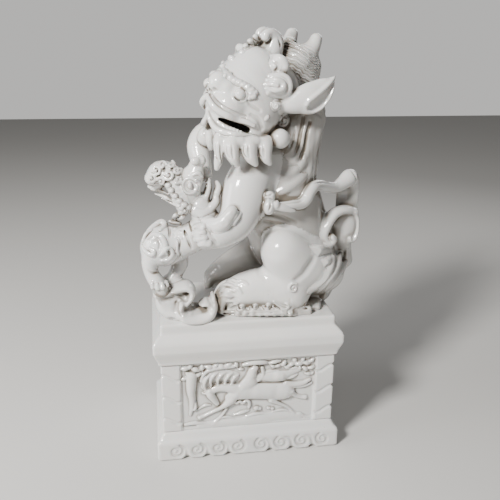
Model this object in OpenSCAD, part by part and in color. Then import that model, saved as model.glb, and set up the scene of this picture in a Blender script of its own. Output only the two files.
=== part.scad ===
// Guardian lioness (foo dog) with her cub, in white glazed porcelain, on a hollow rectangular plinth.
// Frame: +Z up, origin under the middle of the plinth, -Y is the front with the relief panel.
// The lioness sits facing -X and turns her head towards -Y. Every piece is one that the potter
// presses or casts on its own and lutes to its neighbours with slip, so the pieces meet face to face.

/* [Plinth] */
// Width of the plinth over its foot
plinth_w = 178; // [174:1:184]
// Depth of the plinth over its foot
plinth_d = 120; // [116:1:126]
// Height of the straight part of the foot
foot_h = 19; // [16:1:21]
// Height at which the foot has narrowed to the body
foot_top = 28; // [26:1:30]
// Height at which the body meets the cornice
body_top = 100; // [97:1:103]
// Height of the cornice and deck above the body
cornice_h = 40; // [38:1:42]
// How far the body stands in from the edge of the foot
body_inset = 6; // [5:1:7]
// Wall thickness of the plinth
wall = 8; // [7:1:9]
// Face width of a corner post
post_w = 18; // [16:1:20]
// How far the panels stand back from the posts
panel_recess = 3; // [2:0.5:4]
// Radius of the vent hole in the deck
vent_r = 9; // [7:1:11]

/* [Figures] */
// Thickness of the clay around the hollow in the body and the head
clay_wall = 7; // [6:1:8]
// Number of flats around a thick limb
limb_sides = 14; // [12:2:16]
// Number of flats around a lock of hair
lock_sides = 8; // [8:2:10]

/* [Hidden] */

// Facets of a full circle
$fn = 48;
// Porcelain white
glaze = "#f1efea";
// Flats around a thick roll of clay, and around a slim one
roll_sides = 12;
slim_sides = 10;
// Facets around the end of a relief stroke
stroke_facets = 10;
// Height of the deck, and the plinth's width and depth above its foot
deck_z = body_top + cornice_h;
body_w = plinth_w - 2 * body_inset;
body_d = plinth_d - 2 * body_inset;
// Radius of the notches between the lobes of the apron, and how deep they cut
apron_notch_r = 4;
apron_cut = 3.5;
// Rails along the top and bottom of a panel: height, and how far they stand off it
rail_h = 4;
rail_proud = 1.5;
// Half the thickness of a relief, which stands half proud of its panel
sprig_h = 4;
// Grooves across a corner post: spacing, height and slant in degrees
groove_step = 23;
groove_w = 2.4;
groove_slant = 20;
// Where the vent passes through the deck, and how deep it cuts into the body
vent_x = 60;
vent_depth = 4 * clay_wall;
// Larger than the statue, for cutting
far = 400;

// The head's own frame: its middle above the deck, and its turn. In it +X is forward, +Y the
// lioness's left and +Z the top of the head.
head_at = [8, -10, 195];
head_turn = [-10, -20, 215];

// Directions round the neck in which the locks of the mane hang, in degrees.
mane_turns = [-80, -48, -16, 16, 48, 80];
// Locks of the beard above the deck: [x, y, z at the chin, length].
beard_places = [[14, -46, 163, 17], [3, -49, 163, 18], [-6, -50, 163, 14], [-15, -50, 164, 18],
    [-25, -45, 166, 24], [-30, -20, 168, 15], [-32, 3, 165, 12]];

// ---------------------------------------------------------------- shared geometry

// A block whose side faces all follow one moulding. Each entry of steps is [inset, height].
module moulded_block(steps) {
    intersection() {
        rotate([90, 0, 0]) linear_extrude(far, center = true) polygon(half_outline(steps, plinth_w / 2));
        rotate([90, 0, 90]) linear_extrude(far, center = true) polygon(half_outline(steps, plinth_d / 2));
    }
}

// Closed outline of a moulding that is the same on both sides of the middle.
function half_outline(steps, half) = concat(
    [for (s = steps) [half - s[0], s[1]]],
    [for (i = [len(steps) - 1:-1:0]) [steps[i][0] - half, steps[i][1]]]);

// A point of the smooth curve through four stations, t of the way from b to c.
function blend4(a, b, c, d, t) = 0.5 * (2 * b + (c - a) * t + (2 * a - 5 * b + 4 * c - d) * t * t
    + (3 * b - a - 3 * c + d) * t * t * t);

// The stations with steps - 1 more between each pair, along a smooth curve.
function smooth(s, steps) = let (n = len(s)) concat(
    [for (i = [0:n - 2]) for (j = [0:steps - 1])
        blend4(s[max(i - 1, 0)], s[i], s[i + 1], s[min(i + 2, n - 1)], j / steps)],
    [s[n - 1]]);

function place(s) = [s[0], s[1], s[2]];
function unit(v) = v / max(norm(v), 0.0001);
function along(s, i) = unit(place(s[min(i + 1, len(s) - 1)]) - place(s[max(i - 1, 0)]));

// One ring of a limb: an ellipse square to the way the limb runs.
function ring(p, way, r_across, r_deep, deep_axis, sides) = let (
    across = unit(cross(way, deep_axis)), deep = unit(cross(across, way)))
    [for (k = [0:sides - 1]) p + across * r_across * cos(360 * k / sides)
        + deep * r_deep * sin(360 * k / sides)];

// A tapering limb with round ends. A station is [x, y, z, radius across, radius deep].
module limb(stations, sides = limb_sides, steps = 2, deep_axis = [0, 1, 0]) {
    s = smooth(stations, steps);
    n = len(s);
    a = s[0];
    z = s[n - 1];
    way_a = along(s, 0);
    way_z = along(s, n - 1);
    rings = concat(
        [ring(place(a) - way_a * a[3] * 0.7, way_a, a[3] * 0.7, a[4] * 0.7, deep_axis, sides)],
        [for (i = [0:n - 1]) ring(place(s[i]), along(s, i), s[i][3], s[i][4], deep_axis, sides)],
        [ring(place(z) + way_z * z[3] * 0.7, way_z, z[3] * 0.7, z[4] * 0.7, deep_axis, sides)]);
    m = len(rings);
    poles = [place(a) - way_a * a[3], place(z) + way_z * z[3]];
    points = concat([for (r = rings) for (p = r) p], poles);
    faces = concat(
        [for (i = [0:m - 2]) for (k = [0:sides - 1])
            [i * sides + k, i * sides + (k + 1) % sides, (i + 1) * sides + (k + 1) % sides]],
        [for (i = [0:m - 2]) for (k = [0:sides - 1])
            [i * sides + k, (i + 1) * sides + (k + 1) % sides, (i + 1) * sides + k]],
        [for (k = [0:sides - 1]) [k, m * sides, (k + 1) % sides]],
        [for (k = [0:sides - 1])
            [(m - 1) * sides + k, (m - 1) * sides + (k + 1) % sides, m * sides + 1]]);
    polyhedron(points, faces, convexity = 6);
}

// A round lump of hair or clay.
module lump(p, r) limb([[p[0] - r / 2, p[1], p[2], r * 0.87, r * 0.87],
    [p[0] + r / 2, p[1], p[2], r * 0.87, r * 0.87]], slim_sides, 1);

// Joins its children into a single skin, cut off level at the deck.
module luted() {
    color(glaze) resize([0, 0, 0]) difference() {
        union() children();
        translate([-far, -far, deck_z - far]) cube([2 * far, 2 * far, far]);
    }
}

// Moves figures from the deck's height, where they are drawn, to their place.
module on_deck() translate([0, 0, deck_z]) children();

// Moves a piece from the head's own frame to its place.
module on_head() translate([0, 0, deck_z]) translate(head_at) rotate(head_turn) children();

// ---------------------------------------------------------------- plinth

foot_steps = [[0, 0], [0, foot_h], [2.5, foot_h + 1.5], [4.5, foot_h + 4.5], [body_inset, foot_top]];

// The ring foot. Scallops are cut from the apron's outer skin, and the inner rim rests flat.
module plinth_foot() {
    color(glaze) difference() {
        moulded_block(foot_steps);
        translate([0, 0, -1]) hollow(foot_top + 2);
        for (side = [-1, 1]) {
            for (x = [-62, -41, -20, 20, 41, 62]) {
                translate([x, side * (plinth_d / 2 + far / 2 - apron_cut), 0]) rotate([90, 0, 0])
                    cylinder(far, r = apron_notch_r, center = true);
            }
            for (y = [-36, -14, 14, 36]) {
                translate([side * (plinth_w / 2 + far / 2 - apron_cut), y, 0]) rotate([0, 90, 0])
                    cylinder(far, r = apron_notch_r, center = true);
            }
        }
    }
}

// The open inside of the plinth, h tall.
module hollow(h) translate([-(body_w / 2 - wall), -(body_d / 2 - wall), 0])
    cube([body_w - 2 * wall, body_d - 2 * wall, h]);

// A wall of the plinth between two posts, standing at the front and as wide as w.
module panel(w, face) {
    translate([-w / 2, -face + panel_recess, foot_top])
        cube([w, wall - panel_recess, body_top - foot_top]);
    for (z = [foot_top, body_top - rail_h]) {
        translate([-w / 2, -face + panel_recess - rail_proud, z]) cube([w, rail_proud, rail_h]);
    }
}
module plinth_front_panel() color(glaze) panel(body_w - 2 * post_w, body_d / 2);
module plinth_back_panel() color(glaze) rotate(180) panel(body_w - 2 * post_w, body_d / 2);
module plinth_left_panel() color(glaze) rotate(-90) panel(body_d - 2 * post_w, body_w / 2);
module plinth_right_panel() color(glaze) rotate(90) panel(body_d - 2 * post_w, body_w / 2);

// A corner post, an angle of clay as thick as the wall, with three slanting grooves on each face.
module post(sx, sy) {
    color(glaze) difference() {
        translate([sx > 0 ? body_w / 2 - post_w : -body_w / 2,
            sy > 0 ? body_d / 2 - post_w : -body_d / 2, foot_top])
            cube([post_w, post_w, body_top - foot_top]);
        translate([0, 0, foot_top - 1]) hollow(body_top - foot_top + 2);
        for (i = [0:2]) {
            z = body_top - post_w - i * groove_step;
            translate([sx * (body_w / 2 - post_w / 2), sy * body_d / 2, z])
                rotate([0, sx * -groove_slant, 0]) cube([2 * post_w, 2, groove_w], center = true);
            translate([sx * body_w / 2, sy * (body_d / 2 - post_w / 2), z])
                rotate([sy * groove_slant, 0, 0]) cube([2, 2 * post_w, groove_w], center = true);
        }
    }
}
module front_left_post() post(-1, -1);
module front_right_post() post(1, -1);
module back_left_post() post(-1, 1);
module back_right_post() post(1, 1);

cornice_steps = [[4, body_top], [3.5, body_top + 5], [1, body_top + 11], [-0.5, body_top + 14],
    [-0.5, body_top + 23], [2, body_top + 26], [6, body_top + 30], [7, body_top + 31], [7, deck_z]];

// The cornice and the deck in one pressing, open below, with a vent into the lioness's body.
module plinth_cornice() {
    color(glaze) difference() {
        moulded_block(cornice_steps);
        translate([0, 0, body_top - 1]) hollow(cornice_h - wall + 1);
        translate([vent_x, 0, body_top]) cylinder(far, r = vent_r);
    }
}

// ---------------------------------------------------------------- reliefs

// Draws a sprig of relief standing on a panel's face at the front of the plinth.
module sprig(face) {
    color(glaze) resize([0, 0, 0]) intersection() {
        translate([0, -face + panel_recess, (foot_top + body_top) / 2]) rotate([90, 0, 0])
            linear_extrude(2 * sprig_h, center = true, convexity = 8) children();
        translate([-far / 2, -face + panel_recess - sprig_h, 0]) cube([far, sprig_h, far]);
    }
}

// A thick stroke through the points, each [x, y, radius].
module stroke(points) {
    for (i = [0:len(points) - 2]) {
        hull() {
            translate([points[i][0], points[i][1]]) circle(points[i][2], $fn = stroke_facets);
            translate([points[i + 1][0], points[i + 1][1]]) circle(points[i + 1][2], $fn = stroke_facets);
        }
    }
}

// The rider on a galloping horse under a branch.
module front_relief() {
    sprig(body_d / 2) {
        stroke([[-6, -2, 8], [8, 0, 7], [24, -2, 8], [32, -8, 5], [44, -12, 2.5], [52, -18, 1.5]]);
        stroke([[-8, 2, 7], [-18, 8, 6], [-28, 6, 4], [-38, -2, 3]]);
        stroke([[-10, -6, 4], [-26, -14, 2.5], [-34, -24, 1.5]]);
        stroke([[24, -8, 4], [38, -20, 2], [50, -22, 1.5]]);
        stroke([[28, 4, 4], [44, 10, 3], [58, 12, 2]]);
        stroke([[2, 8, 5], [4, 18, 5], [2, 24, 3]]);
        stroke([[-58, -30, 3], [-56, 0, 3], [-50, 24, 3], [-20, 30, 2], [20, 28, 2], [56, 30, 2]]);
        stroke([[-62, -31, 2], [0, -30, 2.5], [62, -31, 2]]);
    }
}

// A rock with a flowering branch, for the back.
module back_relief() {
    rotate(180) sprig(body_d / 2) {
        stroke([[-56, -30, 3], [-40, -22, 6], [-24, -28, 5], [10, -31, 2], [60, -31, 2]]);
        stroke([[-40, -20, 4], [-30, 0, 3], [-10, 10, 2.5], [20, 14, 2], [48, 24, 1.5]]);
        stroke([[-10, 10, 2.5], [0, 24, 2], [16, 30, 1.5]]);
        for (p = [[-22, 6], [8, 14], [32, 18], [48, 24], [4, 27]]) {
            translate(p) circle(5, $fn = stroke_facets);
        }
    }
}

// A spray of leaves, for each end.
module end_sprig() {
    stroke([[-26, -30, 3], [-12, -20, 3], [-4, 0, 2.5], [10, 16, 2], [24, 24, 1.5]]);
    stroke([[-4, 0, 2], [-18, 10, 4], [-26, 14, 1.5]]);
    stroke([[0, 6, 2], [16, 0, 4], [26, -4, 1.5]]);
    stroke([[6, 12, 2], [-2, 22, 4], [-8, 30, 1.5]]);
}
module left_relief() rotate(-90) sprig(body_w / 2) end_sprig();
module right_relief() rotate(90) sprig(body_w / 2) end_sprig();

// ---------------------------------------------------------------- lioness

// The body's centre line, from the rump on the deck up to the neck, with its radii less by skin.
function torso_line(skin) = [for (s = [[72, 6, 8, 20, 28], [66, 6, 26, 30, 35], [57, 5, 46, 37, 39],
    [47, 4, 68, 40, 40], [41, 3, 92, 38, 40], [35, 2, 116, 36, 40], [35, 2, 138, 29, 34],
    [40, 2, 156, 23, 28], [46, 2, 170, 20, 25]]) s - [0, 0, 0, skin, skin]];

module torso_solid() on_deck() limb(torso_line(0));
module lion_torso() {
    luted() difference() {
        torso_solid();
        on_deck() limb(torso_line(clay_wall), roll_sides, 1);
        translate([vent_x, 0, deck_z - 1]) cylinder(vent_depth, r = vent_r, $fn = 24);
    }
}

// The head from nape to nose, in the head's own frame, with its radii less by skin.
function head_line(skin) = [for (s = [[-24, 0, 12, 22, 26], [-10, 0, 14, 34, 35], [8, 0, 5, 36, 36],
    [22, 0, -5, 29, 29], [34, 0, -5, 22, 21], [42, 0, -1, 12, 12]]) s - [0, 0, 0, skin, skin]];

module head_solid() on_head() limb(head_line(0));
module lion_head() {
    luted() difference() {
        head_solid();
        on_head() limb([for (s = head_line(clay_wall)) if (s[0] < 30) s], roll_sides, 1);
        on_head() limb([[20, 0, -25, 2.5, 34], [36, 0, -24, 3.5, 34], [54, 0, -22, 4, 34]], roll_sides, 1);
        torso_solid();
    }
}

// The combed knot of hair behind the head with its two horn-like tufts.
module hair_cap_solid() {
    on_head() {
        limb([[-36, 0, 6, 19, 28], [-38, 0, 22, 21, 31], [-33, 0, 34, 21, 30], [-27, 0, 44, 19, 26],
            [-27, 0, 51, 13, 20]]);
        for (side = [-1, 1]) {
            limb([[-28, side * 13, 54, 8, 8], [-30, side * 15, 62, 6.5, 6.5],
                [-30, side * 15.5, 70, 5.5, 5.5]], lock_sides, 1);
        }
    }
}
module lion_hair_cap() {
    luted() difference() {
        hair_cap_solid();
        head_solid();
        torso_solid();
    }
}

// A leaf-shaped ear on a short stem, side is 1 for the lioness's left.
module ear_solid(side) {
    on_head() limb([[-2, side * 30, 4, 7, 7], [-7, side * 39, 9, 9, 8], [-11, side * 45, 14, 11, 7.5],
        [-14, side * 50, 17, 13, 6.5], [-17, side * 52, 22, 12, 5.5], [-20, side * 54, 28, 9.5, 4.5],
        [-22.5, side * 55.5, 34, 5.5, 3], [-25, side * 57, 42, 1.4, 1.2]], slim_sides, 1);
}
module ear(side) {
    luted() difference() {
        ear_solid(side);
        head_solid();
        temple_curls_solid(side);
    }
}
module lion_left_ear() ear(1);
module lion_right_ear() ear(-1);

// The curls that frame one side of the face, from the forelock down to the ball under the ear.
module temple_curls_solid(side) {
    on_head() {
        limb([[4, side * 4, 32, 8, 8], [3.6, side * 4, 44, 7, 7], [2, side * 4, 53, 5.4, 5.4],
            [6, side * 4, 59.5, 4.6, 4.6], [13.5, side * 4, 59.5, 4, 4], [18, side * 4, 54, 4, 4]],
            slim_sides, 2);
        lump([0, side * 19, 36], 9.5);
        lump([3, side * 31, 19], 9.5);
        lump([6, side * 37, 3], 6);
        lump([-5, side * 39, -8], 8);
        lump([-8, side * 41, -23], 9);
    }
}
module temple_curls(side) {
    luted() difference() {
        temple_curls_solid(side);
        head_solid();
        hair_cap_solid();
        torso_solid();
    }
}
module lion_left_temple_curls() temple_curls(1);
module lion_right_temple_curls() {
    luted() difference() {
        temple_curls_solid(-1);
        temple_curls_solid(1);
        head_solid();
        hair_cap_solid();
        torso_solid();
    }
}

// The row of small curls over both eyes.
module lion_brow_curls() {
    luted() difference() {
        on_head() for (side = [-1, 1]) {
            limb([[39, side * 3, 10, 5, 5], [37, side * 14, 11, 5, 5], [32, side * 25, 7, 6, 5],
                [24, side * 32, 3, 5, 5]], lock_sides, 2, [1, 0, 0]);
        }
        head_solid();
    }
}

// Locks of the mane: each starts under the hair and runs down over the neck.
module mane_solid() {
    on_deck() {
        for (turn = mane_turns) {
            reach = 1 - abs(turn) / 300;
            translate([40, 2, 0]) rotate(turn) limb([[17, 0, 184, 9, 14], [20, 0, 170, 8, 15],
                [25 * reach, 0, 152, 7, 16], [28 * reach, 0, 134, 6, 14], [30 * reach, 0, 116, 3.5, 8]],
                lock_sides, 1);
        }
    }
}
module lion_mane() {
    luted() difference() {
        mane_solid();
        torso_solid();
        head_solid();
        hair_cap_solid();
        temple_curls_solid(1);
        temple_curls_solid(-1);
        ear_solid(1);
        ear_solid(-1);
    }
}

// Pointed locks under the chin, from one cheek round to the other.
module lion_beard() {
    luted() difference() {
        on_deck() for (p = beard_places) {
            limb([[p[0], p[1], p[2] + 3, 7, 6], [p[0], p[1] - 4, p[2] - p[3] * 0.5, 5.5, 4.5],
                [p[0] + 1, p[1] - 5, p[2] - p[3], 2.2, 2]], lock_sides, 1);
        }
        head_solid();
        torso_solid();
        temple_curls_solid(1);
        temple_curls_solid(-1);
        left_foreleg_solid();
        right_foreleg_solid();
        cub_head_solid();
    }
}

module left_foreleg_solid() {
    on_deck() limb([[14, -20, 140, 18, 16], [4, -30, 128, 21, 18], [-4, -38, 110, 19, 17],
        [-12, -45, 92, 16, 16], [-26, -50, 84, 13, 14], [-38, -50, 81, 11, 12]]);
}
module lion_left_foreleg() {
    luted() difference() {
        left_foreleg_solid();
        torso_solid();
    }
}

module right_foreleg_solid() {
    on_deck() limb([[10, 24, 138, 18, 17], [-8, 26, 154, 15, 15], [-28, 22, 160, 13, 14],
        [-38, 14, 152, 12, 13], [-38, 6, 140, 10, 12], [-36, -4, 128, 8, 12]]);
}
module lion_right_foreleg() {
    luted() difference() {
        right_foreleg_solid();
        torso_solid();
        head_solid();
    }
}

module left_hind_leg_solid() {
    on_deck() {
        limb([[78, -22, 32, 20, 14], [58, -30, 48, 26, 18], [36, -36, 60, 22, 20]]);
        limb([[34, -36, 56, 19, 18], [36, -34, 36, 19, 18], [40, -32, 16, 16, 17]], limb_sides, 1);
        limb([[40, -34, 16, 16, 16], [12, -30, 20, 17, 17], [-12, -26, 14, 13, 16]], limb_sides, 2);
        limb([[38, -36, 5, 6, 18], [10, -32, 5, 6, 19], [-16, -26, 5, 6, 17]], limb_sides, 1);
    }
}
module lion_left_hind_leg() {
    luted() difference() {
        left_hind_leg_solid();
        torso_solid();
    }
}

module right_hind_leg_solid() {
    on_deck() {
        limb([[70, 26, 32, 24, 14], [44, 32, 46, 22, 17], [12, 32, 34, 17, 17], [-12, 34, 20, 14, 15],
            [-27, 34, 12, 10, 13]]);
        limb([[36, 34, 6, 7, 15], [0, 34, 6, 7, 16], [-24, 34, 5, 6, 13]], limb_sides, 1);
    }
}
module lion_right_hind_leg() {
    luted() difference() {
        right_hind_leg_solid();
        torso_solid();
    }
}

// The raised tail with its rolled curl and the flames of hair that run down the rump.
module tail_solid() {
    on_deck() {
        limb([[85, 12, 8, 8, 15], [92, 13, 30, 12, 18], [97, 10, 50, 12, 16], [103, 5, 64, 10, 13],
            [109, -1, 78, 6, 9], [109, -6, 86, 4, 8], [100, -11, 90, 4.5, 8], [91, -14, 91, 4.5, 8],
            [82, -17, 87, 5, 8], [75, -20, 80, 5, 8], [73, -22, 71, 5, 7.5], [77, -23, 63, 4.5, 7],
            [82, -23, 66, 3, 6]], roll_sides, 1);
        limb([[90, 20, 6, 5, 9], [101, 20, 22, 6, 10], [106, 18, 40, 6, 10], [108, 14, 56, 5, 8]],
            lock_sides, 1);
        limb([[109, -8, 88, 4, 6], [113, -8, 76, 3.5, 6], [112, -8, 64, 4, 7], [104, -10, 56, 4, 6]],
            lock_sides, 1);
        limb([[54, -38, 51, 3, 5], [62, -33, 57, 4.5, 6], [73, -26, 60, 4.5, 6], [84, -18, 58, 4, 6]],
            lock_sides, 1);
    }
}
module lion_tail() {
    luted() difference() {
        tail_solid();
        torso_solid();
        left_hind_leg_solid();
        right_hind_leg_solid();
    }
}

// Low rock that carries the heel and the haunch.
module heel_rock() {
    luted() difference() {
        on_deck() union() {
            limb([[44, -30, 2, 6, 20], [60, -18, 2, 7, 24], [70, -4, 2, 6, 30]], roll_sides, 1);
            limb([[44, 28, 2, 6, 18], [60, 16, 2, 7, 24], [70, 4, 2, 6, 30]], roll_sides, 1);
        }
        torso_solid();
        left_hind_leg_solid();
        right_hind_leg_solid();
        tail_solid();
        translate([vent_x, 0, deck_z - 1]) cylinder(vent_depth, r = vent_r, $fn = 24);
    }
}

// The sash runs from the knot round the back and flies out over the tail.
module sash_ribbon_solid() {
    on_deck() limb([[22, -47, 107, 3, 4], [31, -46, 107, 3, 4], [39, -44, 108, 3.2, 4],
        [48, -40, 108, 3.5, 4.5], [53, -36, 111, 3.5, 5], [61, -29, 120, 3.5, 5],
        [69, -23, 122, 3.5, 5], [78, -16, 121, 3.5, 5],
        [89, -9, 118, 4, 5], [98, -4, 120, 5, 5.5], [106, 1, 122, 6, 6], [112, 5, 114, 3.8, 7],
        [113, 6, 104, 3.4, 8], [113, 6, 92, 3.4, 8], [111, 3, 80, 3.4, 7]], slim_sides, 1);
}
module sash_ribbon() {
    luted() difference() {
        sash_ribbon_solid();
        torso_solid();
        tail_solid();
        mane_solid();
    }
}

module sash_knot() {
    luted() difference() {
        on_deck() {
            lump([17, -48, 116], 5.5);
            lump([17, -48, 106], 6);
            limb([[20, -47, 106, 3.5, 3.5], [30, -48, 104, 3, 3], [38, -46, 102, 1.6, 2]],
                lock_sides, 1);
        }
        torso_solid();
        sash_ribbon_solid();
        left_foreleg_solid();
        mane_solid();
    }
}

// ---------------------------------------------------------------- cub

module cub_body_solid() {
    on_deck() limb([[-84, -24, 64, 13, 14], [-74, -26, 68, 18, 17], [-58, -30, 72, 15, 15],
        [-44, -34, 80, 14, 14], [-37, -36, 93, 13, 13], [-42, -34, 106, 11, 12]]);
}
module cub_body() {
    luted() difference() {
        cub_body_solid();
        left_foreleg_solid();
    }
}

module cub_head_solid() {
    on_deck() {
        limb([[-52, -30, 114, 12, 13], [-50, -30, 124, 13, 13], [-44, -30, 134, 9, 10],
            [-41, -30, 140, 6, 8]], roll_sides, 2);
        limb([[-46, -31, 110, 7, 9], [-37, -32, 114, 5, 8], [-33, -32, 124, 3.5, 6]], slim_sides, 2);
    }
}
module cub_head() {
    luted() difference() {
        cub_head_solid();
        cub_body_solid();
        right_foreleg_solid();
    }
}

// Curly crown, nape and beard of the cub.
module cub_mane() {
    luted() difference() {
        on_deck() {
            limb([[-84, -18, 128, 6, 9], [-76, -20, 134, 10, 13], [-66, -24, 130, 11, 15],
                [-60, -28, 118, 9, 15], [-56, -30, 106, 8, 14]], roll_sides, 2);
            limb([[-76, -12, 122, 5, 8], [-85, -10, 118, 2, 3]], lock_sides, 1);
            limb([[-46, -40, 102, 5, 5], [-36, -42, 106, 4, 4], [-28, -38, 112, 4, 4],
                [-26, -34, 122, 3, 4]], lock_sides, 2);
        }
        cub_head_solid();
        cub_body_solid();
        right_foreleg_solid();
        left_foreleg_solid();
    }
}

module cub_foreleg() {
    luted() difference() {
        on_deck() limb([[-36, -48, 92, 6, 6], [-27, -60, 96, 6, 6], [-19, -60, 104, 5.5, 5.5]],
            slim_sides, 2);
        cub_body_solid();
        left_foreleg_solid();
    }
}

module cub_left_hind_leg() {
    luted() difference() {
        on_deck() limb([[-86, -30, 60, 9, 9], [-90, -32, 50, 7, 7], [-85, -34, 38, 7.5, 8],
            [-79, -36, 29, 7, 9]], slim_sides, 2);
        cub_body_solid();
        cloud_solid();
    }
}

module cub_right_hind_leg() {
    luted() difference() {
        on_deck() limb([[-64, -14, 58, 10, 9], [-61, -15, 44, 8, 8], [-68, -18, 33, 6, 8],
            [-76, -20, 28, 5, 7]], slim_sides, 2);
        cub_body_solid();
        cloud_solid();
    }
}

// The rolled cloud that carries the cub.
module cloud_solid() {
    on_deck() {
        limb([[-80, -30, 19, 5, 15], [-71, -31, 13, 8, 17], [-59, -33, 8, 10, 18],
            [-46, -34, 7, 11, 17], [-36, -32, 9, 9, 15], [-29, -30, 15, 4, 11]], roll_sides, 1);
        limb([[-74, -25, 18, 6, 13], [-63, -26, 21, 6, 13], [-53, -27, 19, 6, 12],
            [-49, -28, 11, 7, 12]], roll_sides, 1);
    }
}
module cloud_base() luted() cloud_solid();

plinth_foot();
plinth_front_panel();
plinth_back_panel();
plinth_left_panel();
plinth_right_panel();
front_left_post();
front_right_post();
back_left_post();
back_right_post();
plinth_cornice();
front_relief();
back_relief();
left_relief();
right_relief();
lion_torso();
lion_head();
lion_hair_cap();
lion_left_ear();
lion_right_ear();
lion_left_temple_curls();
lion_right_temple_curls();
lion_brow_curls();
lion_mane();
lion_beard();
lion_left_foreleg();
lion_right_foreleg();
lion_left_hind_leg();
lion_right_hind_leg();
lion_tail();
heel_rock();
sash_ribbon();
sash_knot();
cub_body();
cub_head();
cub_mane();
cub_foreleg();
cub_left_hind_leg();
cub_right_hind_leg();
cloud_base();
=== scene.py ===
"""Looks of the guardian lioness: glazed porcelain sculpted around the CAD frame."""
import copy
import math

import bpy
import numpy as np
from mathutils import Matrix, Vector


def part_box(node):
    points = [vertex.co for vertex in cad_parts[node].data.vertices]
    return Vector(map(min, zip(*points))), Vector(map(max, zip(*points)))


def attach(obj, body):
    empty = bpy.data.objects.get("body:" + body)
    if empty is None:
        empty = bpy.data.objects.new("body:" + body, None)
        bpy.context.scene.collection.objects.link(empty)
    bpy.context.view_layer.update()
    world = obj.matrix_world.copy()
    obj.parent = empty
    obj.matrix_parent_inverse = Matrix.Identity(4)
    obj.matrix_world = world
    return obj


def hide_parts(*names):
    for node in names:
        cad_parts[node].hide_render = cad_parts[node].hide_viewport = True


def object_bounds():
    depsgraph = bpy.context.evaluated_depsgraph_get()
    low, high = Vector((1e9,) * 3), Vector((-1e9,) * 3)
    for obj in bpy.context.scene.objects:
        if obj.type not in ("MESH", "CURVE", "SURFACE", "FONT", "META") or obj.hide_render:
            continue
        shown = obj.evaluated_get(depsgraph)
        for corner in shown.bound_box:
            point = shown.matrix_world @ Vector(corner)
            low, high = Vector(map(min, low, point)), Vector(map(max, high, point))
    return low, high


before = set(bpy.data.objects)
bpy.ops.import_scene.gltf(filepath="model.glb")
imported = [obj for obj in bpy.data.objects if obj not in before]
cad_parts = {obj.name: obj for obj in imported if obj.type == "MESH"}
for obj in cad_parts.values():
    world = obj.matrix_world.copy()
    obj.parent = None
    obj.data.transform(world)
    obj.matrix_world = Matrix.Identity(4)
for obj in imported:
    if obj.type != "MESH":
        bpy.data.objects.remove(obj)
cad_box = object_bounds()

MM = 0.001
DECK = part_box("plinth_cornice")[1].z / MM      # height of the deck that the figures stand on
VOXEL, FINE = 0.8, 0.55                        # spacings of the sculpting grids, in mm
FAR = 12.0                                     # distance that empty grid points start with
ROUND_ENOUGH = 0.02                            # a roll this near to round is treated as round
WIDE_JOINT = 3.0                               # joints this soft or softer read distances as far as FAR

# How points are marched along a line on to the clay: start, steps, stride as a part of the distance read,
# shortest and longest stride, and the distance that counts as a hit, in mm.
MARCH_FROM, MARCH_STEPS, MARCH_STRIDE = -90.0, 160, 0.45
MARCH_LEAST, MARCH_MOST, MARCH_HIT = 0.4, 5.0, 0.1

# Where the statue is looked at from, in mm above the deck. Details of the near side are drawn on an
# upright sheet of glass at GLASS_Y and carried along the line of sight on to the clay.
EYE = np.array([-79.95, -549.65, 376.67 - DECK])
GLASS_Y = -40.0

# The head's own frame: x forward, y to the lioness's left, z to the top of the head.
HEAD_AT = np.array([8, -10, 195])
HEAD_TURN = (-10.0, -20.0, 215.0)


# ---------------------------------------------------------------- sculpting kit

def turning(degrees):
    """Rotation matrix for turns about x, then y, then z."""
    rx, ry, rz = (math.radians(d) for d in degrees)
    return np.array(Matrix.Rotation(rz, 3, "Z") @ Matrix.Rotation(ry, 3, "Y") @ Matrix.Rotation(rx, 3, "X"))


HEAD_AXES = turning(HEAD_TURN)
HEAD_SIDE = HEAD_AXES[:, 1]


def on_head(stations):
    """Stations given in the head's frame, moved to the deck's frame."""
    s = np.array(stations, float)
    s[:, :3] = s[:, :3] @ HEAD_AXES.T + HEAD_AT
    return s


def smooth_path(stations, steps):
    """Stations with steps - 1 more between each pair, along a Catmull-Rom curve."""
    s = np.array(stations, float)
    if steps < 2 or len(s) < 3:
        return s
    p = np.vstack([2 * s[0] - s[1], s, 2 * s[-1] - s[-2]])
    t = np.arange(steps)[:, None] / steps
    out = []
    for i in range(len(s) - 1):
        a, b, c, d = p[i:i + 4]
        out.append(0.5 * (2 * b + (c - a) * t + (2 * a - 5 * b + 4 * c - d) * t ** 2
                          + (3 * b - a - 3 * c + d) * t ** 3))
    out.append(s[-1:])
    out = np.vstack(out)
    out[:, 3:] = np.maximum(out[:, 3:], 0.2)
    return out


def soft_min(a, b, soft):
    """The smaller of two distances, rounded where they are within soft of each other."""
    if soft <= 0:
        return np.minimum(a, b)
    h = np.maximum(soft - np.abs(a - b), 0) / soft
    return np.minimum(a, b) - h * h * soft * 0.25


def soft_max(a, b, soft):
    return -soft_min(-a, -b, soft)


def blend_reach(soft):
    """How far from its own skin a stroke of this softness still changes the clay."""
    return max(soft, FAR if soft >= WIDE_JOINT else 0)


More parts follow.
